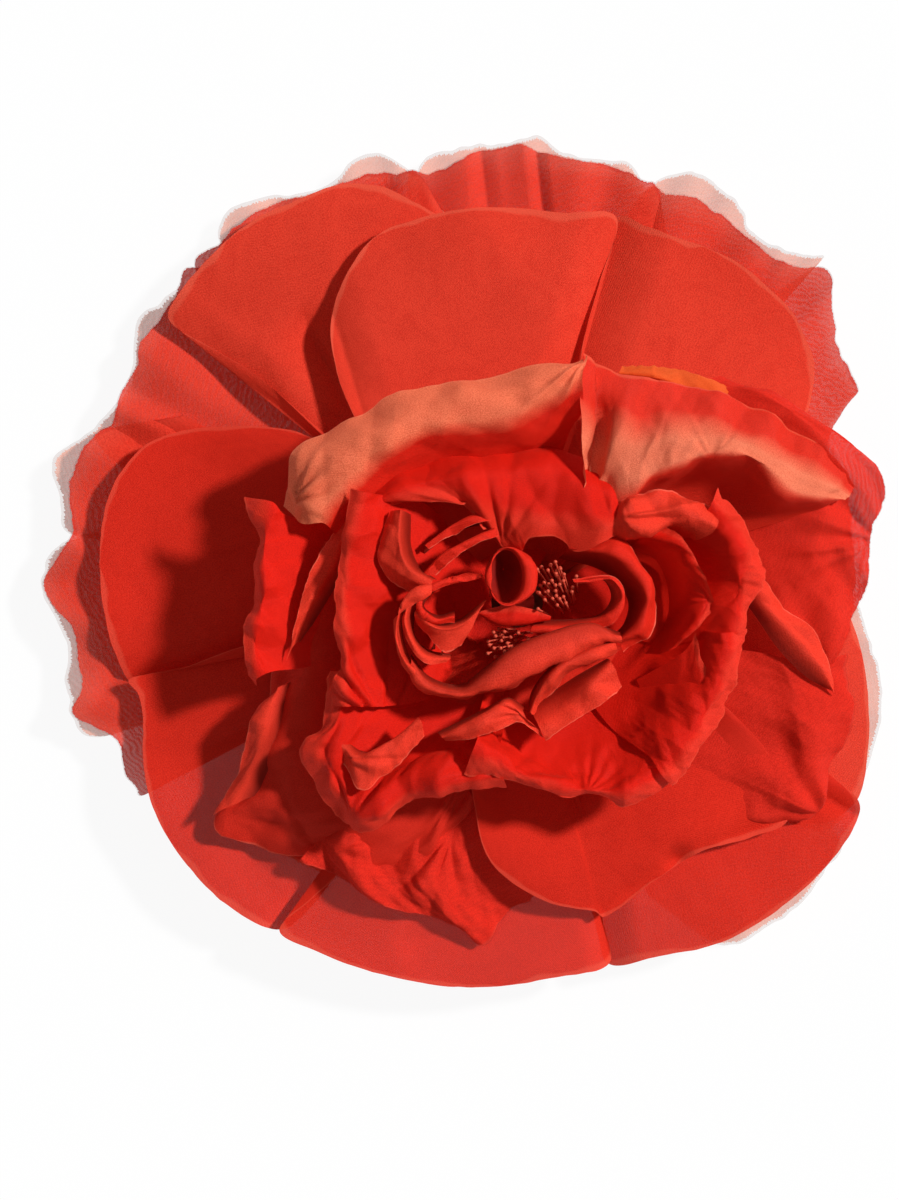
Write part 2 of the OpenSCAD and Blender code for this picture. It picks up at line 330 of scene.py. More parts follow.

# %% [markdown]
# ## The rim
# A cut edge frays in single threads and catches the light, which most cloths paint into a paler rim
# colour, and the sheer ones edge with a darker hem. Where it rolls over it shows the cloth's other face,
# which the silks paint paler, partly as sheen, and the root lies in shadow between its neighbours, which
# is painted as a darker colour. All four depend on how far a point is from claw to rim, so one group reads
# the "place" map and gives four masks.

# %% The rim group
def build_rim():
    """The cut edge, where a painted highlight goes, where it has frayed, where the cloth has turned over,
    and the root, where painted shade goes.
    """
    group, given, out, place, split = new_group(
        "rim", "place", {"Width": 0.03, "Fray": 0.01, "Turn": 0.8, "Back": 2.0},
        ["Rim", "Frayed", "Turned", "Root shade"])
    to_edge = maths(group, "SUBTRACT", 1.0, split[1])
    slow = node(group, "ShaderNodeTexNoise", noise_dimensions="1D")
    slow.inputs["Scale"].default_value = 6
    group.links.new(split[0], slow.inputs["W"])
    vary = maths(group, "MULTIPLY", maths(group, "SUBTRACT", slow.outputs[0], 0.35, clamp=True), 4.0)
    width = maths(group, "ADD", maths(group, "MULTIPLY", vary, given["Width"]), 0.002)
    share = maths(group, "DIVIDE", to_edge, width)
    rim = maths(group, "MULTIPLY", maths(group, "SUBTRACT", 1.0, share, clamp=True), 2.5)
    group.links.new(maths(group, "MINIMUM", rim, 1.0), out["Rim"])
    stretch = node(group, "ShaderNodeMapping", vector_type="POINT")
    stretch.inputs["Scale"].default_value = (160, 12, 1)
    group.links.new(place, stretch.inputs[0])
    strands = flat_noise(group, stretch.outputs[0], Scale=1)
    edge = maths(group, "DIVIDE", to_edge, given["Fray"])
    frayed = maths(group, "LESS_THAN", edge, maths(group, "MULTIPLY", strands, 1.6))
    group.links.new(frayed, out["Frayed"])
    wander = flat_noise(group, place, Scale=7)
    along = maths(group, "MULTIPLY", maths(group, "SUBTRACT", wander, 0.5), 0.08)
    along = maths(group, "ADD", along, split[1])
    past = maths(group, "MULTIPLY", maths(group, "SUBTRACT", along, given["Turn"]), 11.0, clamp=True)
    before = maths(group, "MULTIPLY", maths(group, "SUBTRACT", given["Back"], along), 7.0, clamp=True)
    group.links.new(maths(group, "MULTIPLY", past, before), out["Turned"])
    # The root mask darkens the foot of a strip: painted shade.
    root = maths(group, "MULTIPLY", maths(group, "SUBTRACT", 0.55, along), 2.2, clamp=True)
    group.links.new(root, out["Root shade"])
    return group


RIM = build_rim()
print("node group", RIM.name, "with", len(RIM.nodes), "nodes")

# %% [markdown]
# ## One recipe for every cloth
# The same silk is used sheer, doubled and crisp, so one function makes them all. Its colour
# goes from deep to light with grain, threads and watered bands. Dyed silk has little gloss but
# a soft sheen, and a share of its light comes through from behind. A sheer cloth is also part
# transparent, by its alpha.

# %% Cloth recipe
THREAD_TINT = 0.12     # how much single threads lighten the cloth
GRAIN_TINT = 4.5       # how much its fine grain does
LIGHT_SHARE = 0.6      # the cloth's middle tone, from deep (0) to light (1)
SILK_GLOSS = 0.08
SILK_SHEEN = 0.03
SHEEN_TINT = (1.0, 0.4, 0.25, 1)


def cloth_spots(tree, weave, watered, moire):
    """Where the cloth is deep (0) and where it is light (1)."""
    spots = maths(tree, "MULTIPLY", weave["Thread"], THREAD_TINT)
    grain = maths(tree, "MULTIPLY", maths(tree, "SUBTRACT", weave["Grain"], 0.5), GRAIN_TINT)
    spots = maths(tree, "ADD", spots, grain)
    slow = maths(tree, "MULTIPLY", maths(tree, "SUBTRACT", weave["Watered"], 0.5), 2 * watered)
    spots = maths(tree, "ADD", spots, slow)
    spots = maths(tree, "ADD", spots, maths(tree, "MULTIPLY", weave["Moire"], moire))
    return maths(tree, "ADD", spots, LIGHT_SHARE, clamp=True)


def cloth_cover(tree, weave, rim, alpha, rim_alpha, moire, turned_face_and_sheen, fray):
    """Alpha of sheer cloth: more on its threads and its rim, and none where it has frayed."""
    cover = maths(tree, "ADD", maths(tree, "MULTIPLY", weave["Thread"], 0.06), alpha)
    cover = maths(tree, "ADD", cover, maths(tree, "MULTIPLY", weave["Moire"], moire * 0.3))
    more = (rim_alpha or alpha) - alpha
    cover = maths(tree, "ADD", cover, maths(tree, "MULTIPLY", rim["Rim"], more))
    if turned_face_and_sheen:
        cover = maths(tree, "SUBTRACT", cover, maths(tree, "MULTIPLY", rim["Turned"], 0.12))
    if fray > 0:
        cover = maths(tree, "MULTIPLY", cover, maths(tree, "SUBTRACT", 1.0, rim["Frayed"]))
    return maths(tree, "MINIMUM", cover, 1.0, clamp=True)


def cloth_material(name, colour, deep, rim_hem_and_highlight, alpha=1.0, translucent=0.18, rough=0.6,
                   rim_width=0.03, rim_mix=0.5, fray=0.0, rim_alpha=None, turned_face_and_sheen=None,
                   turn_at=0.8, back_at=2.0, watered=0.3, moire=0.0, root=0.0):
    """Cloth with a rim; beyond turn_at of the way to the rim it shows its other, paler face, which on the
    silks is partly painted sheen.
    """
    mat = bpy.data.materials.new(name)
    mat.use_nodes = True
    tree = mat.node_tree
    shader = tree.nodes["Principled BSDF"]
    weave = node(tree, "ShaderNodeGroup", node_tree=WEAVE).outputs
    rim_node = node(tree, "ShaderNodeGroup", node_tree=RIM)
    for socket, value in zip(rim_node.inputs, (rim_width, max(fray, 0.001), turn_at, back_at)):
        socket.default_value = value
    rim = rim_node.outputs
    body = (*colour, 1)
    # The turned face: on the silks its paler colour is partly painted sheen.
    if turned_face_and_sheen:
        body = mix_colour(tree, rim["Turned"], body, (*turned_face_and_sheen, 1))
    shade = tuple(d / c for c, d in zip(colour, deep))
    spots = cloth_spots(tree, weave, watered, moire)
    shade = mix_colour(tree, spots, (*shade, 1), (1.0, 1.0, 1.0, 1))
    body = mix_colour(tree, 1.0, body, shade, "MULTIPLY")
    # Painted shade: the foot of a strip is darkened, as the well between its neighbours shades it.
    if root > 0:
        foot = tuple(0.25 * c for c in deep)
        body = mix_colour(tree, maths(tree, "MULTIPLY", rim["Root shade"], root), body, (*foot, 1))
    # The rim colour: a paler painted highlight on most cloths, a darker hem on the sheer ones.
    body = mix_colour(tree, maths(tree, "MULTIPLY", rim["Rim"], rim_mix), body, (*rim_hem_and_highlight, 1))
    tree.links.new(body, shader.inputs["Base Color"])
    shader.inputs["Roughness"].default_value = rough
    shader.inputs["Specular IOR Level"].default_value = SILK_GLOSS
    shader.inputs["Sheen Weight"].default_value = SILK_SHEEN
    shader.inputs["Sheen Roughness"].default_value = 0.35
    shader.inputs["Sheen Tint"].default_value = SHEEN_TINT
    height = maths(tree, "ADD", weave["Thread"], maths(tree, "MULTIPLY", weave["Grain"], 4.0))
    add_relief(tree, shader, height, strength=0.35, depth=0.0003)
    through = node(tree, "ShaderNodeBsdfTranslucent")
    through.inputs["Color"].default_value = (*colour, 1)
    behind = through.outputs[0]
    if alpha < 1:
        cover = cloth_cover(tree, weave, rim, alpha, rim_alpha, moire, turned_face_and_sheen, fray)
        tree.links.new(cover, shader.inputs["Alpha"])
        clear = node(tree, "ShaderNodeBsdfTransparent")
        behind = mix_shaders(tree, alpha, clear.outputs[0], behind)
    mixed = mix_shaders(tree, translucent, shader.outputs[0], behind)
    tree.links.new(mixed, tree.nodes["Material Output"].inputs["Surface"])
    return mat


print("a cloth's middle tone is", LIGHT_SHARE, "of the way from deep to light")

# %% [markdown]
# ## The organzas
# The underlay is pale and open, so the table shows through it. The wavy layer and the veil are one ply and
# nearly close the view where they overlap, and the rounds are two plies, seamed at a rim that is painted
# paler, as a highlight. Each has its own colours and its own alpha.

# %% Organza
PALE = cloth_material("pale_organza", (0.84, 0.34, 0.22), (0.72, 0.22, 0.12), (0.86, 0.40, 0.28),
                      alpha=0.72, fray=0.010, rim_width=0.02, moire=0.12, translucent=0.3)
SHEER = cloth_material("red_organza", (0.82, 0.054, 0.026), (0.60, 0.026, 0.012), (0.55, 0.02, 0.012),
                       alpha=0.97, fray=0.004, rim_width=0.010, rim_alpha=1.0, moire=0.12,
                       turned_face_and_sheen=(0.82, 0.09, 0.05), turn_at=0.94, translucent=0.25)
VEIL = cloth_material("red_silk_veil", (0.76, 0.028, 0.013), (0.56, 0.015, 0.007), (0.62, 0.05, 0.03),
                      alpha=0.97, fray=0.006, rim_width=0.015, rim_alpha=1.0, moire=0.10)
DOUBLE = cloth_material("red_organza_double", (0.80, 0.054, 0.025), (0.60, 0.028, 0.013),
                        (0.86, 0.13, 0.07), alpha=0.99, rim_width=0.022, watered=0.4)
DEEP = cloth_material("red_organza_deep", (0.75, 0.027, 0.011), (0.57, 0.015, 0.006),
                      (0.84, 0.09, 0.05), alpha=0.99, rim_width=0.022, watered=0.4)
print("organzas:", len([m for m in bpy.data.materials if "organza" in m.name]))

# %% [markdown]
# ## The crisp silks
# The heart and the middle petals are opaque silk. Cut edges are painted paler, as a highlight, and so are
# the strips and lips that catch the light; a strip's foot is painted dark, as the shade of the well
# between its neighbours. The coral silk shows a paler face where a standing petal turns over, partly
# painted sheen, and the right one turns back again at its edge.

# %% Silk
DOUBLE_SILK = cloth_material("red_silk_double", (0.74, 0.030, 0.014), (0.57, 0.017, 0.008),
                             (0.84, 0.12, 0.07), rim_width=0.03)
SILK = cloth_material("red_silk", (0.75, 0.015, 0.006), (0.60, 0.008, 0.003), (0.80, 0.08, 0.04),
                      rim_width=0.015, rough=0.5, translucent=0.16, turned_face_and_sheen=(0.82, 0.040, 0.019),
                      turn_at=0.80)
# A paler copy of the red silk for strips and lips that catch the light: its paleness is painted light, and
# its feet are painted dark, as shade.
LIT_LIP_SILK = cloth_material("red_silk_lip_painted_lit", (0.85, 0.050, 0.023), (0.66, 0.026, 0.012), (0.86, 0.12, 0.07),
                     rim_width=0.03, rim_mix=0.8, rough=0.5, translucent=0.10, root=0.9)
# The curls: a painted highlight at their rims and painted shade at their feet.
CURL = cloth_material("red_silk_curl", (0.76, 0.025, 0.011), (0.60, 0.012, 0.005), (0.88, 0.15, 0.09),
                      rim_width=0.03, rim_mix=0.8, rough=0.5, translucent=0.08, root=0.9)
# The coral silks are deep red; the paler coral where they turn over is partly painted sheen.
CORAL = cloth_material("coral_silk", (0.74, 0.022, 0.010), (0.58, 0.012, 0.005), (0.90, 0.22, 0.12),
                       rim_width=0.01, rough=0.45, turned_face_and_sheen=(0.93, 0.21, 0.10), turn_at=0.62)
CORAL_RIGHT = cloth_material("coral_silk_right", (0.76, 0.034, 0.016), (0.60, 0.020, 0.009),
                             (0.80, 0.12, 0.06), rim_width=0.01, rough=0.45,
                             turned_face_and_sheen=(0.91, 0.23, 0.12), turn_at=0.50, back_at=0.88)
# Orange silk painted as light shining through the right petal's edge: a painted glow.
PAINTED_GLOW = cloth_material("orange_silk_painted_glow", (0.86, 0.13, 0.025), (0.76, 0.09, 0.015), (0.88, 0.2, 0.06),
                      rim_width=0.02, rough=0.5, translucent=0.3)
print("silks:", len([m for m in bpy.data.materials if "silk" in m.name]))

# %% [markdown]
# ## The flat layers at the back
# Three layers fan out from the stem: pale underlay, wavy red organza and smooth double rounds.
# A milliner cuts each petal as a round on a wedge and trims it to sit beside its neighbours, so
# each outline here is a few points in whole millimetres. From the stem a petal runs level over
# the pad and then droops: its stem end is at the top of the frame's own box, its rim at the
# bottom. A crease is a straight valley, sharp along its middle.

# %% Creases and pleats
def crease_dip(x, y, start, end, depth, width):
    """How far a sharp valley from start to end lowers each point."""
    along = np.subtract(end, start).astype(float)
    length = np.linalg.norm(along)
    along /= length
    s = (x - start[0]) * along[0] + (y - start[1]) * along[1]
    d = (x - start[0]) * along[1] - (y - start[1]) * along[0]
    ends = ease((s + width) / width) * ease((length + width - s) / width)
    return depth * np.clip(1 - np.abs(d) / width, 0, 1) ** 1.5 * ends


def pinch_bump(x, y, spot, reach, height, count, way, seed):
    """Pleats that fan out, one way, from the place where the cloth is caught."""
    dx, dy = x - spot[0], y - spot[1]
    d = np.hypot(dx, dy)
    turn = np.arctan2(dy, dx) - math.radians(way)
    turn = (turn + math.pi) % (2 * math.pi) - math.pi
    pleat = crease_noise(turn * count / math.pi + 40, turn * 0, seed) - 0.45
    fade = ease(1.4 - np.abs(turn)) * np.exp(-(d / reach) ** 2) * ease(d / (0.3 * reach))
    return height * pleat * fade


print("a crease 3 mm deep dips", float(crease_dip(5.0, 0.0, (0, 0), (10, 0), 3.0, 4.0)), "mm")

# %% [markdown]
# ## A petal that lies in the fan
# Each column of the grid runs straight from the stem to the outline, and the petal's height
# comes from the frame's box: level over the pad, then down to the rim. Ruffles, slow waves,
# facets and creases are added to that height, and grow towards the rim, where cloth is free.

# %% Fan petals
SEWN_AT = 7.0      # mm from the middle of the heart to where a fan petal is sewn
SWELL_END = 48     # mm out, where a swollen root has come down again
RIM_WAVE = 1.6     # mm of slow wave in every rim
FAN_CRUMPLE = 0.02


def fan_points(outline, box, bend, seed, lift, crown=0.0, ruffle=0.0, ripple=7.0, creases=(),
               rows=56, columns=150, wobble=0.7, swell=0.0):
    """Rows by columns of points, in millimetres, between the stem and the outline."""
    rim = spline(np.array(outline, float), np.linspace(0, 1, columns))
    far = np.concatenate([[0], np.cumsum(np.linalg.norm(np.diff(rim, axis=0), axis=1))])
    way = rim - HEART
    way /= np.linalg.norm(way, axis=1, keepdims=True)
    rim = rim + way * (wobble * (soft_noise(far / 2.3, far * 0, seed) - 0.5))[:, None]
    root = HEART + way * SEWN_AT
    plan = root + (rim - root) * np.linspace(0, 1, rows)[:, None, None]
    x, y = plan[..., 0], plan[..., 1]
    r = np.hypot(x - HEART[0], y - HEART[1])
    top, bottom = box[1][2] / MM, box[0][2] / MM
    z = top - (top - bottom) * ease((r - bend[0]) / (bend[1] - bend[0]))
    z += swell * ease((SWELL_END - r) / 24) * ease((r - SEWN_AT) / 10)
    u = np.linspace(-1, 1, columns)[None]
    edge = ease((np.linspace(0, 1, rows)[:, None] - 0.4) / 0.6)
    z = z + lift * edge + crown * edge * (1 - u ** 2)
    phase = math.pi * far / ripple + 3 * soft_noise(far / 14, far * 0, seed)
    z += ruffle * edge ** 2 * np.sin(phase)
    z += edge * RIM_WAVE * (soft_noise(x / 19 + seed, y / 19, seed) - 0.5)
    z += FAN_CRUMPLE * edge * facets(x, y, 22, seed + 3, 3)
    for start, end, depth, width in creases:
        z -= crease_dip(x, y, start, end, depth, width)
    return np.stack([x, y, z], 2)


def fan_petal(look, node_name, slot_name, material, outline, bend, **how):
    points = fan_points(outline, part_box(node_name), bend, **how)
    make_sheet(f"{look}_{node_name}", points, material, node_name)


print("fan petals are sewn", SEWN_AT, "mm from the middle of the heart")

# %% [markdown]
# ## The pale underlay
# Seven petals of pale organza peep out behind the red ones. Only their frayed rims show, so a
# coarser grid is enough for them. They lie lowest, and those at the left lift a little more.

# %% The pale underlay
UNDERLAY = [
    [(64, -58), (86, -64), (93, -54), (98, -42), (99, -31), (96, -19), (91, -9), (70, -2)],
    [(44, -80), (60, -91), (70, -88), (79, -82), (86, -73), (89, -66), (74, -50)],
    [(72, 62), (85, 71), (80, 72), (74, 74), (68, 78), (66, 83), (62, 87), (56, 91), (53, 92),
     (45, 89), (36, 80)],
    [(46, 82), (40, 93), (35, 94), (24, 96), (18, 100), (13, 99), (8, 98), (3, 98), (-2, 97),
     (-7, 96), (-10, 93), (-14, 84)],
    [(-4, 82), (-12, 91), (-18, 95), (-22, 96), (-26, 94), (-31, 89), (-40, 86), (-46, 86),
     (-54, 83), (-57, 80), (-57, 74), (-46, 60)],
    [(-52, 58), (-66, 64), (-72, 60), (-77, 56), (-78, 45), (-82, 37), (-87, 31), (-93, 27),
     (-97, 23), (-95, 14), (-93, 6), (-74, 4)],
    [(-72, 12), (-94, 4), (-99, -3), (-99, -8), (-97, -12), (-94, -18), (-93, -24), (-94, -27),
     (-93, -32), (-92, -38), (-86, -42), (-68, -36)]]
UNDERLAY_LIFT = [2.0, 2.0, 2.0, 2.0, 3.5, 5.5, 5.5]
for i, (outline, lift) in enumerate(zip(UNDERLAY, UNDERLAY_LIFT), 1):
    fan_petal("pale", f"underlay_petal_{i}", "underlay_organza", PALE, outline, (42, 80),
              ruffle=0.5, lift=lift, seed=i, rows=40, columns=120)
print("underlay:", len(UNDERLAY), "petals")

# %% [markdown]
# ## The wavy layer
# Six petals of single red organza have rims that were pressed into waves and trimmed by hand,
# so their outlines wander. The columns are close together, because the waves are short.

# %% The wavy layer
WAVY = [
    [(60, -30), (80, -34), (88, -24), (92, -10), (92, 4), (90, 16), (84, 26), (76, 34), (60, 30)],
    [(70, 6), (84, 20), (86, 27), (88, 32), (91, 37), (93, 40), (91, 45), (89, 49), (88, 52),
     (88, 56), (87, 60), (87, 66), (85, 69), (81, 69), (76, 70), (72, 72), (68, 75), (63, 80),
     (58, 83), (53, 86), (48, 86), (43, 87), (30, 66)],
    [(50, 68), (46, 87), (43, 89), (38, 92), (35, 93), (30, 94), (24, 95), (19, 96), (14, 98),
     (8, 97), (2, 96), (-3, 93), (-8, 91), (-13, 90), (-10, 66)],
    [(0, 74), (-10, 90), (-16, 91), (-22, 91), (-28, 89), (-33, 87), (-40, 85), (-47, 83),
     (-53, 79), (-58, 74), (-63, 68), (-48, 46)],
    [(-40, 60), (-63, 69), (-67, 64), (-70, 59), (-74, 54), (-76, 51), (-77, 46), (-79, 42),
     (-81, 39), (-82, 36), (-83, 32), (-86, 27), (-68, 12)],
    [(-66, 34), (-83, 31), (-89, 27), (-92, 21), (-93, 15), (-92, 8), (-94, 3), (-98, -3),
     (-99, -7), (-96, -12), (-92, -16), (-91, -22), (-90, -30), (-92, -36), (-88, -39),
     (-84, -41), (-81, -44), (-80, -50), (-77, -54), (-74, -55), (-56, -42)]]
WAVY_CREASES = [
    (), (((66, 60), (72, 68), 1.5, 4),), (((6, 80), (4, 97), 2.0, 4), ((19, 80), (17, 97), 2.0, 3)),
    (((-30, 66), (-16, 92), 1.5, 4),), (((-72, 55), (-34, 29), 2.5, 8),),
    (((-84, -30), (-70, -16), 2.0, 5), ((-90, 6), (-78, 2), 1.5, 4), ((-80, -46), (-66, -30), 2.0, 5))]
WAVY_LIFT = [1.5, 1.5, 1.5, 2.5, 4.0, 5.0]
for i, (outline, creases, lift) in enumerate(zip(WAVY, WAVY_CREASES, WAVY_LIFT), 1):
    fan_petal("sheer", f"wavy_petal_{i}", "red_organza", SHEER, outline, (44, 86), ruffle=1.1,
              ripple=11, lift=lift, crown=1.0, creases=creases, seed=10 + i, columns=180)
print("wavy layer:", len(WAVY), "petals")

# %% [markdown]
# ## The smooth rounds
# Ten rounds are two plies of organza, seamed and turned, so their rims are smooth and stiff.
# Each crosses its neighbour, and its lift decides which of the two lies on top. Their roots
# swell up towards the petals above, which closes the view between the layers from the side.

# %% The smooth rounds
ROUND = [
    [(56, 12), (74, 24), (80, 33), (82, 41), (82, 47), (80, 52), (77, 58), (72, 63), (65, 69),
     (57, 73), (51, 75), (43, 78), (36, 80), (31, 66), (27, 54), (20, 34)],
    [(26, 30), (28, 50), (32, 65), (36, 80), (24, 81), (13, 82), (3, 82), (-5, 81), (-12, 79),
     (-18, 77), (-23, 73), (-27, 67), (-30, 60), (-31, 53), (-30, 46), (-28, 39), (-22, 26)],
    [(8, 56), (2, 74), (-5, 80), (-12, 84), (-18, 87), (-25, 88), (-32, 87), (-39, 84), (-48, 80),
     (-55, 75), (-61, 69), (-66, 63), (-69, 56), (-58, 49), (-47, 42), (-32, 28)],
    [(-22, 26), (-34, 28), (-40, 30), (-48, 31), (-57, 31), (-66, 30), (-74, 27), (-79, 22),
     (-83, 15), (-85, 5), (-85, -5), (-84, -13), (-82, -21), (-77, -30), (-66, -31), (-50, -28),
     (-32, -20)],
    [(-30, -15), (-50, -20), (-59, -23), (-67, -26), (-78, -28), (-76, -32), (-75, -38), (-75, -46),
     (-74, -54), (-71, -62), (-66, -70), (-59, -78), (-51, -84), (-43, -87), (-36, -82),
     (-27, -70), (-12, -48)],
    [(-28, -28), (-44, -48), (-48, -60), (-40, -70), (-24, -75), (-8, -71), (2, -60), (8, -42)],
    [(-16, -52), (-28, -72), (-36, -80), (-43, -87), (-34, -92), (-20, -97), (-4, -100), (9, -100),
     (21, -98), (34, -95), (33, -86), (31, -74), (27, -56)],
    [(0, -40), (2, -54), (5, -68), (11, -75), (20, -80), (30, -82), (34, -83), (46, -74), (56, -68),
     (67, -65), (76, -60), (70, -44), (54, -28)],
    [(29, -66), (32, -84), (34, -95), (46, -93), (60, -90), (74, -82), (86, -71), (93, -59),
     (88, -52), (76, -44), (56, -32)],
    [(56, -50), (80, -62), (92, -57), (95, -45), (95, -32), (93, -20), (89, -10), (84, 0), (64, 8)]]
ROUND_SHAPE = [  # lift, crown, creases
    (3.0, 1.5, (((36, 80), (23, 42), 5.0, 14),)),
    (4.8, 1.5, (((37, 80), (25, 40), 3.5, 9), ((-32, 62), (-24, 36), 2.0, 8))),
    (3.2, 1.0, (((-70, 55), (-34, 29), 2.5, 9), ((-34, 50), (-24, 28), 5.0, 12))),
    (3.5, 2.0, (((-80, -30), (-36, -20), 5.0, 14),)),
    (3.0, 1.0, (((-43, -87), (-26, -68), 3.0, 8),)), (-1.0, 0.0, ()),
    (4.0, 1.0, (((35, -95), (31, -78), 2.5, 6), ((-10, -90), (14, -78), 1.5, 7))),
    (5.5, 1.0, (((33, -82), (50, -70), 2.0, 5), ((50, -70), (76, -60), 2.0, 5))),
    (3.0, 1.5, (((33, -95), (31, -80), 4.0, 9), ((92, -60), (78, -52), 1.5, 4))), (1.0, 1.0, ())]
for i, (outline, (lift, crown, creases)) in enumerate(zip(ROUND, ROUND_SHAPE), 1):
    cloth = DEEP if 4 <= i <= 9 else DOUBLE
    fan_petal("double", f"round_petal_{i}", "red_organza_double", cloth, outline, (46, 92),
              lift=lift, crown=crown, creases=creases, seed=20 + i, wobble=0.2, swell=8.0)
print("flat layers:", len(SHEETS), "sheets")

# %% [markdown]
# ## Folded petals
# The middle petals and the cup stand up from the stem, turn over at a crest and end in a cut
# edge. A maker bends them by hand, so the shape is given the same way: a few points along the
# wall, the crest and the edge, and a smooth surface through them. Rows that lie close together
# make a sharp fold. The part below the wall runs back to the stem by itself, and where the
# cloth was caught in the fingers, pleats run out like a star.

# %% Points from rows
ROOT_R = 6.0         # mm from the middle of the heart, where a folded petal is sewn
FLOOR_RISE = 1.5     # mm that its floor lies above the stitches


def along_column(column, t):
    """Points of one column of the grid, read at places t from 0 to 1."""
    place = t * (len(column) - 1)
    i = np.minimum(place.astype(int), len(column) - 2)
    f = (place - i)[:, None]
    return column[i] * (1 - f) + column[i + 1] * f


def net_points(rows_of_points, root_z, seed, along=90, across=130, ragged=1.0, folds=0.12,
               crumple=0.04, pinches=()):
    """A smooth grid through the rows, its edge bitten, then folded, crumpled and pinched."""
    net = [spline(row, np.linspace(0, 1, 30)) for row in rows_of_points]
    if root_z is not None:
        wall = net[0]
        way = wall[:, :2] - HEART
        way /= np.maximum(np.linalg.norm(way, axis=1, keepdims=True), 1e-6)
        root = np.column_stack([HEART + way * ROOT_R, np.full(len(wall), root_z)])
        floor = root * 0.45 + wall * 0.55
        floor[:, 2] = root_z + FLOOR_RISE
        net = [root, floor] + net
    columns = spline(np.array(net).transpose(1, 0, 2), np.linspace(0, 1, across))
    points = spline(columns.transpose(1, 0, 2), np.linspace(0, 1, along))
    s, t = arc_lengths(points, 1), arc_lengths(points, 0)
    s -= s[:, across // 2:across // 2 + 1]
    edge_s, rim = s[-1], t[-1]
    bite = 1.5 * soft_noise(edge_s / 4, edge_s * 0, seed) ** 2
    bite = ragged * (bite + 0.6 * soft_noise(edge_s, edge_s * 0, seed + 1))
    shorter = 1 - bite / rim
    points = np.stack([along_column(points[:, k], np.linspace(0, shorter[k], along))
                       for k in range(across)], 1)
    v = np.linspace(0, 1, along)[:, None]
    free = ease((v - 0.25) / 0.5)
    bump = folds * facets(s, t, 14, seed) + crumple * facets(s, t, 5, seed + 9, 3)
    x, y = points[..., 0], points[..., 1]
    for i, pinch in enumerate(pinches):
        bump = bump + pinch_bump(x, y, *pinch, seed + i)
    return points + surface_normals(points) * (bump * free)[..., None]


print("folded petals are sewn", ROOT_R, "mm from the middle of the heart")

# %% [markdown]
# ## Petals and strips
# A rooted petal runs back to the stem under its neighbours, as the real one does. A strip is a
# narrow fold of silk that is held between its neighbours, so only its standing part is made.

# %% Petals through rows of points
def folded_petal(name, rows_of_points, node_name, slot_name, material, rooted=True, **how):
    """Bends a sheet through rows of points; a rooted one also runs back to the stem."""
    root_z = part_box(node_name)[0][2] / MM if rooted else None
    points = net_points(rows_of_points, root_z, seed=len(SHEETS), **how)
    make_sheet(name, points, material, node_name)


def strip(name, rows_of_points, material=LIT_LIP_SILK, node_name=None, **how):
    """A narrow fold of silk of its own, held between its neighbours."""
    how = {"along": 44, "across": 100, "folds": 0.12, "crumple": 0.05, "ragged": 0.6, **how}
    folded_petal(name, rows_of_points, node_name, "red_silk", material, rooted=False, **how)


print("strips are", LIT_LIP_SILK.name, "unless they say another cloth")

# %% [markdown]
# ## The spreading petals
# Four large petals lie open at the right, the lower right, the lower left and the bottom. Three
# are nearly opaque veil silk. Each is caught at a corner or two, where its pleats start, and a
# strip beside the left one is the piece of its rim that turns over.

# %% The spreading petals
folded_petal("spread_right", [
    [(40, 30, 30), (48, 24, 29), (54, 16, 28), (57, 6, 28), (57, -4, 28), (56, -12, 28)],
    [(52, 38, 34), (66, 36, 36), (80, 24, 37), (80, 10, 34), (76, -2, 32), (68, -12, 31)],
    [(56, 41, 34), (70, 38, 37), (88, 24, 37), (87, 10, 33), (84, -6, 31), (76, -20, 31)],
    [(60, 42, 32), (76, 36, 34), (97, 19, 33), (95, 5, 30), (93, -10, 28), (84, -29, 28)],
], "spread_petal_1", "red_silk", VEIL, folds=0.08,
    pinches=[((96, 4), 24, 3.0, 9, 175), ((84, -28), 22, 2.5, 7, 110)])
folded_petal("spread_lower_right", [
    [(56, -20, 27), (58, -30, 27), (57, -40, 26), (52, -45, 26), (44, -48, 26)],
    [(70, -22, 29), (74, -34, 28), (72, -46, 26), (66, -54, 25), (54, -56, 24)],
    [(80, -24, 29), (82, -38, 28), (78, -52, 26), (72, -60, 24), (58, -60, 22)],
    [(90, -22, 26), (91, -38, 25), (85, -52, 22), (82, -61, 20), (62, -62, 20)],
], "spread_petal_2", "red_silk", VEIL, folds=0.10, pinches=[((84, -60), 24, 3.0, 7, 125)])
folded_petal("spread_lower_left", [
    [(-22, 4, 31), (-24, -10, 31), (-26, -24, 31), (-29, -38, 30), (-27, -48, 29), (-16, -52, 28),
     (-6, -52, 28), (4, -44, 28)],
    [(-30, 4, 36), (-33, -10, 36), (-36, -26, 34), (-40, -44, 31), (-40, -56, 28), (-26, -62, 27),
     (-10, -63, 27), (1, -51, 28)],
    [(-36, 4, 35), (-40, -10, 33), (-43, -30, 29), (-50, -49, 25), (-53, -60, 23), (-34, -67, 23),
     (-13, -70, 25), (2, -55, 28)],
    [(-38, 4, 33), (-42, -10, 31), (-45, -32, 26), (-53, -52, 22), (-57, -64, 20), (-36, -70, 20),
     (-14, -74, 22), (3, -57, 25)],
], "spread_petal_3", "red_silk", DOUBLE_SILK, folds=0.09,
    pinches=[((-34, -70), 24, 2.5, 9, 70), ((-56, -60), 20, 1.5, 7, 50)])
strip("spread_left_turn", [
    [(-39, -28, 30), (-41, -38, 29), (-44, -46, 28), (-48, -55, 26)],
    [(-43, -30, 33), (-46, -40, 32), (-49, -48, 29), (-53, -57, 26)],
    [(-45, -31, 30), (-50, -41, 29), (-54, -51, 26), (-58, -60, 23)],
])
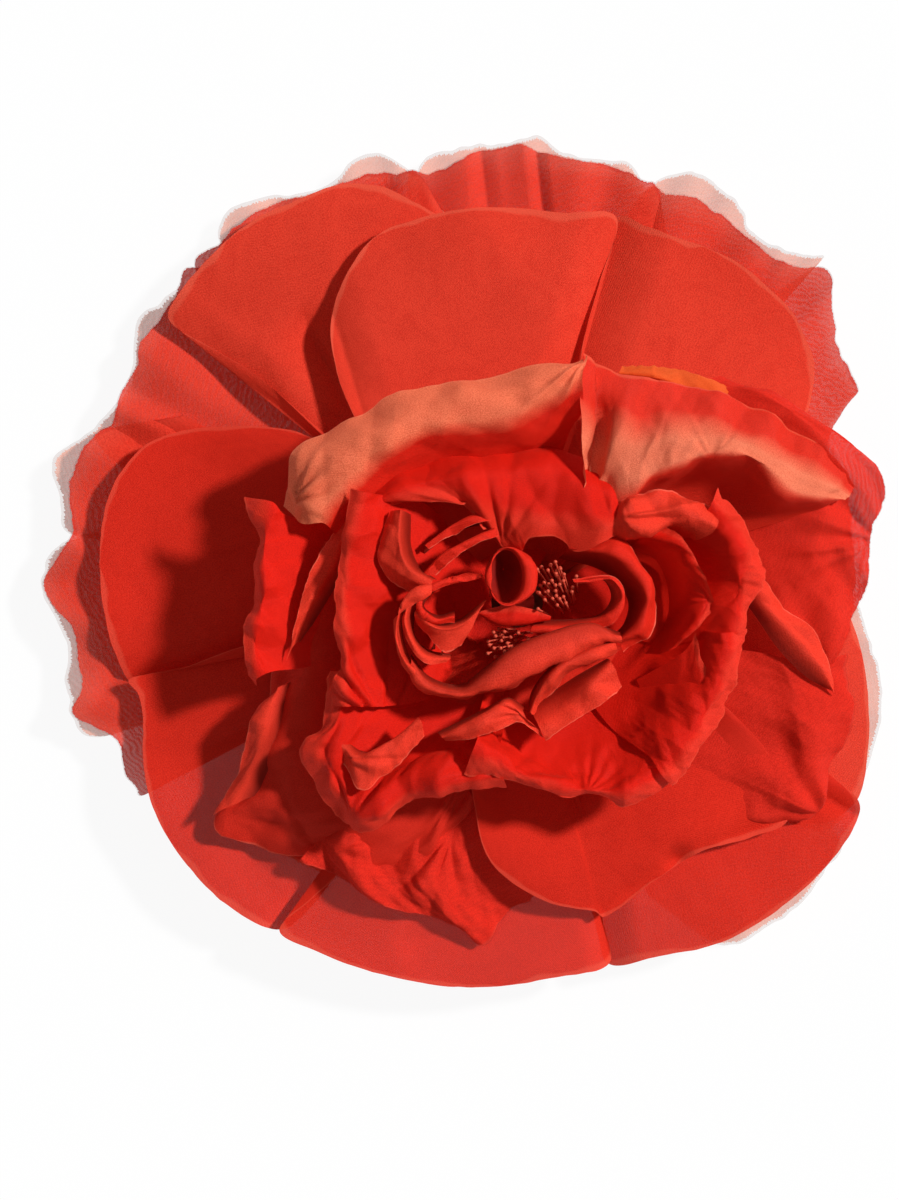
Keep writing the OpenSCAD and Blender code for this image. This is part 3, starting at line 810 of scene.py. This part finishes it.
folded_petal("spread_bottom", [
    [(-25, -60, 25), (-12, -64, 25), (-4, -64, 25), (2, -62, 25), (10, -58, 24)],
    [(-34, -66, 25), (-20, -74, 26), (-8, -76, 27), (-2, -78, 24), (12, -72, 24)],
    [(-38, -70, 22), (-24, -78, 24), (-14, -83, 24), (-4, -85, 22), (4, -91, 21), (9, -86, 20),
     (16, -78, 19)],
], "spread_petal_4", "red_silk", VEIL, folds=0.18, crumple=0.07,
    pinches=[((-3, -64), 20, 3.0, 7, -95), ((-30, -68), 18, 2.0, 7, -20)])

print("with the spreading petals:", len(SHEETS), "sheets")

# %% [markdown]
# ## The standing petals
# Three petals stand behind the cup, and two of them turn a paler, coral face out: partly the silk's other
# face and partly painted sheen. The colour of the turned part is a mask in the material, and the fold
# itself is in the rows: the wall goes up, the crest is the highest row, and the last rows come down on the
# outside.

# %% The standing petals
folded_petal("standing_top", [
    [(-25, 3, 32), (-21, 8, 32), (-17, 12, 32), (-12, 15, 32), (-5, 18, 32), (4, 19, 33), (14, 22, 34),
     (24, 28, 37)],
    [(-29, 5, 40), (-26, 9, 41), (-21, 13, 41), (-16, 18, 41), (-7, 23, 41), (4, 24, 41), (16, 27, 42),
     (27, 34, 44)],
    [(-32, 8, 46), (-29, 13, 47), (-24, 18, 47), (-18, 24, 48), (-8, 29, 48), (5, 30, 48), (17, 34, 48),
     (27, 41, 48)],
    [(-37, 8, 44), (-35, 17, 46), (-30, 23, 47), (-20, 29, 48), (-10, 34, 48), (6, 37, 48), (21, 42, 48),
     (28, 45, 48)],
    [(-42, 12, 37), (-40, 20, 40), (-37, 26, 41), (-23, 34, 42), (-14, 38, 43), (6, 42, 44), (23, 45, 46),
     (28, 47, 47)],
], "standing_petal_1", "coral_silk", CORAL, ragged=0.1, folds=0.10,
    pinches=[((-40, 12), 14, 2.5, 14, 40), ((28, 46), 24, 2.5, 9, -130)])
folded_petal("standing_right", [
    [(24, 0, 33), (25, 1, 33), (27, 3, 33), (31, 7, 33), (37, 12, 33), (44, 15, 33), (51, 17, 33),
     (60, 15, 34), (68, 10, 34), (78, 10, 34)],
    [(27, 9, 45), (29, 8, 41), (34, 11, 45), (38, 14, 46), (44, 18, 47), (51, 21, 47), (58, 23, 47),
     (66, 22, 46), (74, 14, 44), (86, 13, 38)],
    [(26, 22, 48), (29, 20, 41), (34, 22, 46), (40, 22, 47), (46, 24, 48), (53, 25, 48), (61, 26, 47),
     (70, 22, 46), (79, 17, 43), (89, 14, 37)],
    [(27, 34, 48), (30, 32, 42), (35, 32, 48), (42, 30, 47), (49, 32, 47), (57, 31, 46), (66, 28, 45),
     (75, 24, 43), (84, 19, 40), (90, 15, 36)],
    [(27, 47, 46), (30, 45, 43), (36, 43, 43), (44, 41, 41), (52, 40, 40), (60, 38, 39), (69, 34, 38),
     (78, 29, 38), (86, 23, 37), (91, 17, 35)],
], "standing_petal_2", "coral_silk", CORAL_RIGHT, ragged=0.1, folds=0.13,
    pinches=[((29, 10), 26, 3.0, 10, 80), ((57, 22), 10, 1.5, 14, 95)])
folded_petal("standing_left", [
    [(-32, 8, 36), (-33, 0, 36), (-33, -10, 35), (-34, -18, 35), (-36, -25, 34)],
    [(-41, 10, 41), (-43, 1, 42), (-44, -8, 42), (-45, -18, 41), (-45, -26, 39)],
    [(-44, 13, 44), (-46, 3, 44), (-46, -7, 43), (-48, -18, 43), (-47, -27, 40)],
    [(-51, 14, 42), (-48, 4, 41), (-48, -7, 40), (-51, -18, 41), (-48, -30, 38)],
], "standing_petal_3", "coral_silk", SILK, ragged=1.0, folds=0.15)
strip("left_leaf", [
    [(-25, 6, 36), (-27, -2, 36), (-31, -9, 36), (-34, -14, 36), (-37, -19, 35)],
    [(-26, 8, 42), (-29, 0, 42), (-33, -7, 42), (-36, -13, 41), (-39, -20, 39)],
    [(-27, 10, 42), (-34, 0, 42), (-37, -8, 42), (-39, -16, 41), (-41, -24, 38)],
], ragged=0.6)
print("folded petals so far:", len(SHEETS))

# %% [markdown]
# ## The cup, left and bottom
# Seven silk petals stand round the heart like a cup. Their edges are uneven, so each column is
# a little shorter or longer than the next, and pleats run out from where the silk was pressed.
# A small strip of silk fills the place where one petal folds behind the next.

# %% The cup, left and bottom
folded_petal("cup_left", [
    [(-8, 12, 38), (-9, 2, 38), (-9, -9, 38), (-9, -20, 38), (-8, -32, 38)],
    [(-16, 14, 44), (-17, 3, 44), (-18, -9, 43), (-18, -22, 42), (-17, -34, 41)],
    [(-22, 15, 50), (-25, 4, 49), (-26, -9, 50), (-26, -22, 48), (-25, -34, 46)],
    [(-26, 16, 49), (-28, 5, 48), (-30, -8, 49), (-29, -22, 46), (-31, -34, 44)],
], "cup_petal_1", "red_silk", SILK, folds=0.12, ragged=1.6, crumple=0.07,
    pinches=[((-18, -40), 30, 3.0, 14, 95)])
folded_petal("cup_lower_left", [
    [(-13, -18, 38), (-14, -28, 37), (-13, -36, 36), (-8, -40, 36), (-2, -40, 36), (4, -38, 36),
     (10, -36, 36)],
    [(-23, -25, 43), (-25, -36, 42), (-26, -45, 41), (-21, -51, 41), (-12, -48, 43), (-3, -47, 45),
     (8, -45, 46)],
    [(-27, -26, 45), (-29, -37, 44), (-32, -46, 43), (-24, -58, 41), (-13, -54, 43), (-4, -52, 46),
     (9, -50, 48)],
    [(-30, -26, 42), (-33, -38, 40), (-38, -47, 38), (-25, -63, 36), (-12, -57, 40), (-3, -55, 42),
     (10, -52, 45)],
], "cup_petal_2", "red_silk", SILK, ragged=1.6, crumple=0.07,
    pinches=[((-26, -60), 22, 3.0, 9, 60), ((8, -50), 16, 2.5, 7, 160)])
strip("cup_left_flap", [
    [(-27, -38, 40), (-24, -44, 40), (-18, -44, 41), (-12, -40, 42)],
    [(-29, -42, 44), (-24, -46, 45), (-17, -42, 46), (-10, -37, 46)],
    [(-28, -48, 43), (-23, -53, 43), (-15, -48, 45), (-9, -41, 45)],
], pinches=[((-28, -46), 12, 1.5, 9, 10)], folds=0.15)
folded_petal("cup_bottom", [
    [(4, -34, 38), (9, -38, 36), (16, -41, 35), (24, -42, 35), (31, -41, 35), (37, -38, 35)],
    [(3, -40, 47), (10, -45, 46), (18, -48, 44), (27, -50, 44), (36, -49, 44), (43, -46, 44)],
    [(2, -44, 50), (10, -48, 49), (19, -51, 47), (28, -53, 47), (37, -53, 47), (46, -49, 46)],
    [(0, -50, 47), (10, -52, 47), (22, -53, 45), (29, -54, 44), (38, -56, 43), (48, -52, 43)],
], "cup_petal_3", "red_silk", SILK, ragged=1.6, crumple=0.07,
    pinches=[((10, -50), 18, 2.5, 8, 10), ((28, -54), 12, 1.5, 9, 90)])
print("left and bottom of the cup done:", len(SHEETS), "sheets")

# %% [markdown]
# ## The cup, right and top
# On the right the walls are steeper, with a second, inner wall behind the edge. The top petal
# dips towards the heart in its middle, which makes the deep well there.

# %% The cup, right and top
folded_petal("cup_lower_right", [
    [(34, -39, 36), (38, -34, 36), (42, -28, 36), (46, -22, 36), (48, -15, 36)],
    [(42, -45, 45), (46, -41, 46), (51, -34, 47), (55, -26, 47), (57, -17, 47)],
    [(45, -49, 47), (50, -45, 48), (55, -37, 49), (59, -28, 49), (61, -17, 49)],
    [(48, -52, 44), (54, -47, 45), (59, -37, 45), (63, -28, 46), (65, -16, 46)],
], "cup_petal_4", "red_silk", SILK, ragged=2.5, folds=0.15, crumple=0.07)
folded_petal("cup_right", [
    [(46, -20, 36), (48, -12, 36), (48, -6, 36), (46, 1, 36), (43, 7, 38)],
    [(58, -18, 46), (59, -10, 47), (60, -5, 48), (59, 3, 48), (54, 10, 47)],
    [(62, -18, 48), (63, -12, 49), (64, -5, 50), (63, 4, 50), (57, 13, 49)],
    [(65, -19, 45), (65, -12, 46), (69, -6, 46), (67, 5, 46), (59, 17, 47)],
], "cup_petal_5", "red_silk", SILK, ragged=2.5, folds=0.18, crumple=0.07)
strip("right_inner_wall", [
    [(38, 2, 36), (44, 0, 36), (47, -6, 36), (47, -14, 36), (42, -22, 36)],
    [(41, 5, 45), (49, 2, 46), (53, -6, 46), (53, -13, 45), (47, -22, 43)],
    [(42, 7, 47), (51, 4, 48), (57, -8, 48), (55, -15, 46), (50, -20, 45)],
], material=SILK, folds=0.15, pinches=[((56, -10), 14, 2.0, 7, 190)])
strip("lower_right_inner", [
    [(40, -28, 36), (42, -34, 36), (38, -42, 36), (30, -46, 36)],
    [(50, -22, 44), (52, -32, 45), (48, -42, 45), (40, -48, 44)],
    [(53, -17, 47), (57, -28, 47), (54, -39, 47), (46, -48, 46)],
], material=SILK, ragged=2.0, folds=0.15)
folded_petal("cup_upper_right", [
    [(28, 0, 36), (37, 4, 36), (45, 3, 36), (53, -2, 36)],
    [(34, 5, 46), (43, 6, 48), (53, 7, 48), (61, 3, 48)],
    [(34, 8, 48), (43, 11, 50), (54, 10, 50), (63, 5, 49)],
    [(35, 11, 45), (44, 16, 46), (54, 13, 46), (65, 7, 46)],
], "cup_petal_6", "red_silk", LIT_LIP_SILK, pinches=[((36, 9), 18, 2.5, 9, 0)])
folded_petal("cup_top", [
    [(-18, 20, 34), (-6, 24, 34), (8, 25, 34), (20, 25, 35), (32, 22, 36)],
    [(-20, 15, 42), (-7, 20, 44), (8, 21, 45), (22, 20, 46), (35, 15, 46)],
    [(-20, 13, 45), (-6, 17, 47), (8, 13, 46), (19, 11, 47), (36, 10, 47)],
    [(-20, 11, 43), (-8, 13, 45), (1, 12, 45), (6, 5, 41), (9, 2, 40), (14, 2, 41), (16, 5, 44),
     (21, 4, 45), (26, 1, 46), (38, 7, 46)],
], "cup_petal_7", "red_silk", SILK, ragged=0.6, folds=0.12,
    pinches=[((9, 2), 22, 3.0, 8, 95), ((34, 8), 16, 2.0, 7, 140)])
# A sliver painted orange, as light shining through the right petal's edge.
strip("right_glow_sliver", [
    [(35, 42, 38), (44, 41, 38), (52, 39, 37), (61, 37, 36)],
    [(36, 43, 39), (44, 42, 39), (52, 40, 38), (61, 38, 37)],
    [(37, 45, 37), (45, 45, 37), (53, 43, 36), (62, 40, 35)],
], material=PAINTED_GLOW)
strip("right_fold", [
    [(62, -6, 38), (68, -14, 34), (73, -21, 32), (79, -27, 30), (84, -30, 28)],
    [(65, -5, 41), (71, -12, 37), (77, -18, 34), (82, -24, 32), (86, -31, 29)],
    [(68, -6, 38), (76, -12, 33), (82, -18, 31), (85, -24, 30), (86, -32, 28)],
], ragged=0.3)
print("cup done:", len(SHEETS), "sheets")

# %% [markdown]
# ## The heart
# In the middle the cloth stands on edge in rolls, loops and pleats, with dark wells between
# them. Each is a strip of silk bent through rows of points: foot, wall, crest and, where the
# strip rolls over, the far side.

# %% The roll and the loops
ROLL_X, ROLL_Y = 9.8, -4.2
FOOT_X, FOOT_Y = 9.2, -2.5
TILT = 0.3    # mm that the roll's rim falls for each mm towards the top of the flower
roll = []
for degrees in range(-250, 131, 20):
    turn = math.radians(degrees)
    x, y = ROLL_X + 3.8 * math.cos(turn), ROLL_Y + 6.0 * math.sin(turn)
    roll.append((x, y, x - ROLL_X, y - ROLL_Y, 0.40 + 0.35 * math.cos(turn), TILT * (y + 5)))
strip("heart_roll", [
    [(FOOT_X + dx * 0.03, FOOT_Y + dy * 0.03, 39) for x, y, dx, dy, lip, fall in roll],
    [(x - 0.5, y + 0.5, 43) for x, y, dx, dy, lip, fall in roll],
    [(x, y, 47.2 - fall) for x, y, dx, dy, lip, fall in roll],
    [(x + dx * lip * 0.4, y + dy * lip * 0.2, 48.6 - fall) for x, y, dx, dy, lip, fall in roll],
    [(x + dx * lip, y + dy * lip * 0.35, 47.5 - fall) for x, y, dx, dy, lip, fall in roll],
    [(x + dx * lip, y + dy * lip * 0.35, 41) for x, y, dx, dy, lip, fall in roll],
], node_name="heart_tube", material=CURL, folds=0.08, crumple=0.05, ragged=0)
strip("heart_right_loop", [
    [(16, -14, 40), (24, -14, 40), (31, -13, 40), (34, -9, 40), (32, -5, 40), (27, -6, 40)],
    [(16, -16, 46), (25, -15, 48), (33, -13, 49), (36, -9, 49), (33, -5, 50), (26, -6, 50)],
    [(15, -17, 46), (25, -17, 48), (34, -15, 49), (37, -9, 50), (34, -4, 50), (25, -5, 51)],
], node_name="heart_loop", material=CURL, ragged=0.2)
strip("heart_outer_loop", [
    [(22, 0, 38), (30, -2, 38), (35, -5, 38), (38, -10, 38), (37, -15, 38), (34, -18, 38)],
    [(24, 2, 44), (33, 0, 46), (38, -4, 46), (41, -9, 46), (39, -15, 45), (35, -19, 44)],
    [(25, 3, 44), (34, 2, 47), (41, -3, 47), (43, -10, 47), (41, -17, 46), (36, -20, 44)],
    [(26, 4, 40), (36, 4, 43), (42, -2, 42), (45, -10, 42), (43, -18, 42), (37, -22, 41)],
], material=CURL, ragged=0.2)
print("roll and loops done:", len(SHEETS), "sheets")

# %% [markdown]
# ## The sweeps across the heart
# One long band rises from the lower left, runs across the front of the heart and ends at the
# right, and a second follows below it. Flaps and a front fold hang from them.

# %% The sweeps
strip("heart_sweep", [
    [(-12, -22, 42), (-8, -27, 42), (-1, -29, 42), (5, -25, 42), (12, -20, 43), (20, -17, 44),
     (29, -15, 44), (36, -17, 45)],
    [(-12, -23, 47), (-8, -28, 48), (-1, -30, 49), (4, -27, 51), (11, -21, 52), (20, -17, 52),
     (29, -15, 51), (36, -18, 48)],
    [(-12, -24, 48), (-8, -29, 49), (-1, -31, 50), (6, -29, 52), (13, -24, 53), (21, -20, 53),
     (29, -18, 52), (36, -18, 49)],
    [(-13, -25, 47), (-9, -30, 48), (-1, -32, 49), (7, -31, 50), (15, -27, 51), (22, -23, 51),
     (29, -20, 50), (36, -19, 48)],
    [(-13, -25, 43), (-9, -30, 43), (-1, -32, 43), (8, -31, 43), (16, -27, 43), (23, -24, 43),
     (30, -21, 43), (36, -19, 44)],
], node_name="heart_band", folds=0.09, ragged=0)
strip("heart_second_sweep", [
    [(15, -34, 40), (16, -30, 41), (20, -25, 42), (27, -21, 43), (35, -19, 44)],
    [(15, -35, 46), (17, -30, 48), (21, -25, 50), (28, -21, 50), (35, -19, 48)],
    [(16, -36, 46), (18, -31, 48), (22, -27, 50), (29, -23, 50), (35, -20, 48)],
    [(17, -36, 40), (20, -31, 42), (24, -27, 43), (30, -24, 44), (35, -21, 45)],
], ragged=0.2)
strip("heart_lower_flap", [
    [(15, -34, 42), (20, -31, 42), (26, -27, 43), (33, -23, 44)],
    [(17, -38, 46), (24, -34, 46), (29, -29, 49), (34, -24, 48)],
    [(19, -42, 46), (28, -36, 47), (34, -32, 48), (37, -30, 47)],
], ragged=0.4, folds=0.12)
strip("heart_front_fold", [
    [(-6, -40, 44), (4, -35, 44), (10, -32, 44), (14, -34, 44)],
    [(-5, -41, 48), (5, -36, 50), (10, -33, 50), (14, -36, 49)],
    [(-4, -43, 47), (7, -40, 49), (13, -38, 49), (19, -42, 47)],
], ragged=0.4, folds=0.15, pinches=[((14, -36), 12, 2.0, 8, 190)])
print("sweeps done:", len(SHEETS), "sheets")

# %% [markdown]
# ## The arcs at the left of the heart
# Narrow strips stand one behind the other, like pages, with a tongue hanging out of the first.
# Small petals line the well at the top, and a low wall closes it in front.

# %% The arcs and the well
strip("heart_left_arc_inner", [
    [(5, -4, 40), (-3, -6, 40), (-7, -8, 40), (-9, -11, 40), (-6, -13, 40), (-2, -12, 40)],
    [(4, -4, 49), (-3, -5, 49), (-8, -7, 49), (-10, -11, 49), (-7, -14, 48), (-2, -13, 47)],
    [(4, -4, 48), (-3, -5, 49), (-8, -8, 49), (-10, -11, 48), (-7, -14, 47), (-2, -15, 46)],
], ragged=0.3, material=CURL)
strip("heart_tongue", [
    [(-10, -11, 42), (-6, -15, 42), (-1, -14, 42), (3, -11, 43)],
    [(-11, -12, 48), (-6, -16, 49), (0, -15, 49), (5, -10, 48)],
    [(-11, -15, 46), (-8, -19, 46), (-5, -22, 46), (-1, -21, 46)],
], node_name="heart_fold", ragged=0.6, folds=0.09)
strip("heart_left_arc_middle", [
    [(-8, -9, 42), (-11, -13, 42), (-11, -18, 42), (-8, -21, 42), (-3, -22, 42)],
    [(-10, -8, 49), (-13, -13, 50), (-12, -18, 49), (-9, -22, 48), (-3, -23, 46)],
    [(-11, -9, 50), (-14, -13, 50), (-13, -19, 49), (-9, -24, 48), (-4, -24, 46)],
], ragged=0.4)
strip("heart_left_arc_outer", [
    [(-6, -6, 42), (-12, -9, 42), (-14, -15, 42), (-13, -21, 42), (-11, -25, 42)],
    [(-7, -6, 50), (-13, -9, 51), (-15, -15, 51), (-14, -22, 50), (-11, -26, 48)],
    [(-8, -8, 50), (-14, -12, 50), (-16, -16, 50), (-15, -22, 49), (-12, -27, 47)],
], ragged=0.3)
strip("heart_left_curl", [
    [(-12, 10, 40), (-12, 3, 40), (-10, -2, 40), (-6, -5, 40)],
    [(-14, 11, 49), (-14, 3, 50), (-12, -2, 50), (-7, -5, 49)],
    [(-15, 11, 49), (-16, 3, 50), (-14, -3, 50), (-8, -7, 49)],
    [(-18, 11, 45), (-19, 2, 46), (-17, -5, 46), (-11, -9, 46)],
], node_name="heart_fan", ragged=0.3)
strip("heart_well_petal", [
    [(-9, -4, 38), (-4, 0, 38), (2, 3, 38), (7, 6, 38)],
    [(-10, -4, 44), (-5, 1, 46), (1, 4, 46), (7, 7, 46)],
    [(-6, -4, 45), (-2, 0, 46), (3, 3, 47), (8, 5, 46)],
], ragged=0.4, material=CURL)
strip("heart_well_arc", [
    [(-9, 1, 38), (-4, 5, 38), (1, 7, 38), (6, 8, 38)],
    [(-9, 3, 42), (-4, 7, 43), (1, 9, 43), (6, 10, 42)],
    [(-8, 2, 43), (-3, 5, 44), (1, 7, 44), (6, 8, 43)],
], ragged=0.4, material=CURL)
strip("heart_front_wall", [
    [(3, -12, 38), (8, -15, 38), (14, -15, 38), (20, -13, 38)],
    [(3, -13, 45), (8, -15, 46), (14, -15, 46), (20, -14, 45)],
    [(3, -13, 47), (9, -11, 47), (14, -11, 47), (20, -13, 46)],
], ragged=0.3, material=SILK)
print("sheets in all:", len(SHEETS))

# %% [markdown]
# ## Stamens
# Three tufts of waxed thread, each thread tipped with a coral pip, as bought by the bunch from a
# milliner. Their finish needs no weave, so a simpler recipe, with a little grain in its colour,
# roughness and relief, does for them, and later for the felt and the metal.

# %% Plain finishes
def plain_material(name, colour, rough, metallic=0.0, grain=0.0, grain_size=900.0,
                   stretch=(1, 1, 1)):
    mat = bpy.data.materials.new(name)
    mat.use_nodes = True
    tree = mat.node_tree
    shader = tree.nodes["Principled BSDF"]
    place = node(tree, "ShaderNodeTexCoord")
    scale = node(tree, "ShaderNodeMapping")
    scale.inputs["Scale"].default_value = stretch
    tree.links.new(place.outputs["Object"], scale.inputs[0])
    noise = node(tree, "ShaderNodeTexNoise")
    noise.inputs["Scale"].default_value = grain_size
    noise.inputs["Detail"].default_value = 4
    tree.links.new(scale.outputs[0], noise.inputs["Vector"])
    dark = tuple(c * (1 - grain) for c in colour)
    grained = mix_colour(tree, noise.outputs[0], (*dark, 1), (*colour, 1))
    tree.links.new(grained, shader.inputs["Base Color"])
    rougher = maths(tree, "ADD", maths(tree, "MULTIPLY", noise.outputs[0], 0.2), rough - 0.1)
    tree.links.new(rougher, shader.inputs["Roughness"])
    shader.inputs["Metallic"].default_value = metallic
    shader.inputs["Specular IOR Level"].default_value = 0.5 if metallic else 0.15
    add_relief(tree, shader, noise.outputs[0], strength=0.3, depth=0.0002)
    return mat


THREAD = plain_material("stamen_thread", (0.70, 0.09, 0.05), 0.5, grain=0.3)
PIP = plain_material("stamen_pip", (0.80, 0.11, 0.06), 0.45, grain=0.5, grain_size=2500)
print("stamen finishes:", THREAD.name, PIP.name)

# %% [markdown]
# ## One stamen, copied
# One thread and its pip are modelled, a thin cone and a small ball, and their copies are leaned
# outwards from the foot and joined to a tuft. Each copy turns on by the golden angle, as seeds
# do in a flower head, so that no two stand in a row.

# %% Stamens
PIP_RADIUS = 0.46       # mm
PIP_SHAPE = np.diag([1, 1, 1.3])
GOLDEN_ANGLE = 137.5
LEAN = 1.1
UNEVEN = 4.5            # mm between the tallest and the shortest thread


def one_stamen():
    bpy.ops.object.select_all(action="DESELECT")
    bpy.ops.mesh.primitive_cone_add(vertices=6, radius1=0.28 * MM, radius2=0.2 * MM, depth=MM,
                                    end_fill_type="NGON")
    stalk = bpy.context.object
    stalk.data.materials.append(THREAD)
    bpy.ops.object.select_all(action="DESELECT")
    bpy.ops.mesh.primitive_uv_sphere_add(segments=10, ring_count=6, radius=PIP_RADIUS * MM)
    pip = bpy.context.object
    pip.data.materials.append(PIP)
    return stalk, pip


def placed_copy(model, spot, basis):
    """A copy with its own mesh, turned and stretched by the basis, with its middle at the spot."""
    part = model.copy()
    part.data = model.data.copy()
    co = np.empty(len(part.data.vertices) * 3, dtype=np.float32)
    part.data.vertices.foreach_get("co", co)
    place = co.reshape(-1, 3) @ basis.T.astype(np.float32) + (spot * MM).astype(np.float32)
    part.data.vertices.foreach_set("co", place.ravel())
    bpy.context.collection.objects.link(part)
    return part


def tuft(name, node_name, count, shift):
    low, high = (np.array(c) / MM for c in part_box(node_name))
    centre = (low[:2] + high[:2]) / 2
    drift = np.array([*shift, 0.0])
    stalk, pip = one_stamen()
    made = []
    for i in range(count):
        out = 0.8 * math.sqrt(i + 0.3) * (0.7 + 0.6 * lattice(i * 1.0, 5.0, count))
        way = math.radians(i * GOLDEN_ANGLE + 60 * lattice(i * 1.0, 7.0, count))
        foot = np.array([centre[0] + out * 0.8 * math.cos(way),
                         centre[1] + out * 0.8 * math.sin(way), low[2]])
        reach = out * LEAN
        tip = np.array([centre[0] + reach * math.cos(way), centre[1] + reach * math.sin(way),
                        high[2] - UNEVEN * lattice(i * 1.0, 2.0, count)]) + drift
        run = tip - foot
        length = np.linalg.norm(run)
        axis = run / length
        side = np.cross(axis, (0, 1, 0))
        side /= np.linalg.norm(side)
        basis = np.column_stack([side, np.cross(axis, side), axis * length])
        made.append(placed_copy(stalk, (foot + tip) / 2, basis))
        made.append(placed_copy(pip, tip, PIP_SHAPE))
    bpy.ops.object.select_all(action="DESELECT")
    for part in made:
        part.select_set(True)
    bpy.context.view_layer.objects.active = made[0]
    bpy.ops.object.join()
    whole = bpy.context.object
    whole.name = name
    bpy.ops.object.shade_smooth()
    for spare in (stalk, pip):
        bpy.data.objects.remove(spare)
    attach(whole, FLOWER)
    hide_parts(node_name)
    print(name, len(whole.data.polygons), "faces")


tuft("tuft_back", "stamens_back", 36, (-2.0, 3.0))
tuft("tuft_front", "stamens_front", 34, (-3.5, -0.8))
tuft("tuft_side", "stamens_side", 10, (-0.5, -6.0))

# %% [markdown]
# ## The backing and the clip
# These pieces come from the frame with their true shapes, so they only need their finishes:
# wool felt, stiffened buckram, waxed thread, satin nickel on the arms and bare spring wire.

# %% Finishes for the frame's own pieces
FELT = plain_material("wool_felt", (0.40, 0.02, 0.015), 0.95, grain=0.5, grain_size=1400)
BUCKRAM = plain_material("stiff_buckram", (0.66, 0.56, 0.42), 0.9, grain=0.35, grain_size=1200)
SEWING = plain_material("waxed_thread", (0.50, 0.025, 0.015), 0.6, grain=0.4, grain_size=3000)
NICKEL = plain_material("satin_nickel", (0.66, 0.66, 0.68), 0.32, metallic=1.0, grain=0.12, grain_size=700,
                        stretch=(0.15, 4, 4))
WIRE = plain_material("spring_wire", (0.42, 0.42, 0.44), 0.35, metallic=1.0, grain=0.3, grain_size=1500)
finishes = {"felt_pad": FELT, "buckram_disc": BUCKRAM, "arm_stitches": SEWING,
            "bound_stem": SEWING, "fixed_arm": NICKEL, "moving_arm": NICKEL,
            "hinge_pin": NICKEL, "spring_coil": WIRE, "spring_leg": WIRE}
for name, finish in finishes.items():
    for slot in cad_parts[name].material_slots:
        slot.material = finish
print("frame pieces finished:", len(finishes))

# %% [markdown]
# ## The table
# The flower lies face up on a white table. Its colour is a plain pale grey, so that it takes a
# soft shadow, and most of a glow is added only for rays that come from the camera, a gloss or
# a clear surface, so that it looks white there and throws no extra light on the flower.

# %% Table
TABLE_GLOW = 0.93


def seen_as_background(tree):
    """1 for a ray that shows the background, and 0 for one that lights the object."""
    path = node(tree, "ShaderNodeLightPath").outputs
    mirrored = maths(tree, "MAXIMUM", path["Is Glossy Ray"], path["Is Transmission Ray"])
    return maths(tree, "MAXIMUM", path["Is Camera Ray"], mirrored)


bpy.ops.object.select_all(action="DESELECT")
bpy.ops.mesh.primitive_plane_add(size=6, location=(0, 0, cad_box[0][2] - 0.0005))
floor = bpy.context.object
floor.name = "white_table"
table_mat = bpy.data.materials.new("white_table")
table_mat.use_nodes = True
tree = table_mat.node_tree
paint = tree.nodes["Principled BSDF"]
paint.inputs["Base Color"].default_value = (0.8, 0.8, 0.8, 1)
paint.inputs["Roughness"].default_value = 0.9
glow = node(tree, "ShaderNodeEmission")
share = maths(tree, "MULTIPLY", seen_as_background(tree), TABLE_GLOW)
surface = mix_shaders(tree, share, paint.outputs[0], glow.outputs[0])
tree.links.new(surface, tree.nodes["Material Output"].inputs["Surface"])
floor.data.materials.append(table_mat)
print("table at", round(floor.location.z / MM, 2), "mm")

# %% [markdown]
# ## The light
# A window at the right, a little towards the top and half way up the sky, throws each layer's
# shadow to the left, and the pale room fills the shadows. A sun lamp gives even light over the
# flower, and its angle of a few degrees softens the edges of the shadows.

# %% Light
SKY_FILL = 0.26
AZIMUTH, ELEVATION = math.radians(25), math.radians(45)
world = bpy.data.worlds.new("pale_room")
bpy.context.scene.world = world
world.use_nodes = True
tree = world.node_tree
sky = tree.nodes["Background"]
whiter = maths(tree, "MULTIPLY", seen_as_background(tree), 1 - SKY_FILL)
tree.links.new(maths(tree, "ADD", whiter, SKY_FILL), sky.inputs["Strength"])
sky.inputs["Color"].default_value = (1, 1, 1, 1)
lamp = bpy.data.lights.new("window", "SUN")
lamp.energy = 4.0
lamp.angle = math.radians(6)
lamp_obj = bpy.data.objects.new("window", lamp)
bpy.context.collection.objects.link(lamp_obj)
lamp_obj.rotation_euler = (0, math.pi / 2 - ELEVATION, AZIMUTH)
print("lamp turned", [round(math.degrees(a)) for a in lamp_obj.rotation_euler])

# %% [markdown]
# ## The camera
# The camera looks straight down from far away with a long lens, so the petals near it are
# hardly larger than those far from it. Its height follows from the length of table it shows.

# %% Camera
SHOWN = 0.282        # metres of table from the top of the frame to the bottom
LENS = 180
SENSOR = 36
RIM_HEIGHT = 0.012   # the height above the table at which that length is shown
camera_data = bpy.data.cameras.new("camera")
camera_data.lens = LENS
camera_data.sensor_width = SENSOR
camera_data.sensor_fit = "VERTICAL"
camera_data.sensor_height = SENSOR
camera = bpy.data.objects.new("camera", camera_data)
bpy.context.collection.objects.link(camera)
camera.location = (-0.0032, -0.0096, SHOWN * LENS / SENSOR + RIM_HEIGHT)
bpy.context.scene.camera = camera
bpy.context.scene.view_settings.view_transform = "Standard"
print("camera is", round(camera.location.z, 3), "m above the table")

# %% [markdown]
# ## Flat sizes
# At the end the flat sizes of all sheets are printed. The finish may not make the object
# bigger.

# %% Flat sizes
for name, width, length, area in SHEETS:
    print(f"{name}: flat {width * 1000:.0f} x {length * 1000:.0f} mm, area {area * 1e6:.0f} mm2")
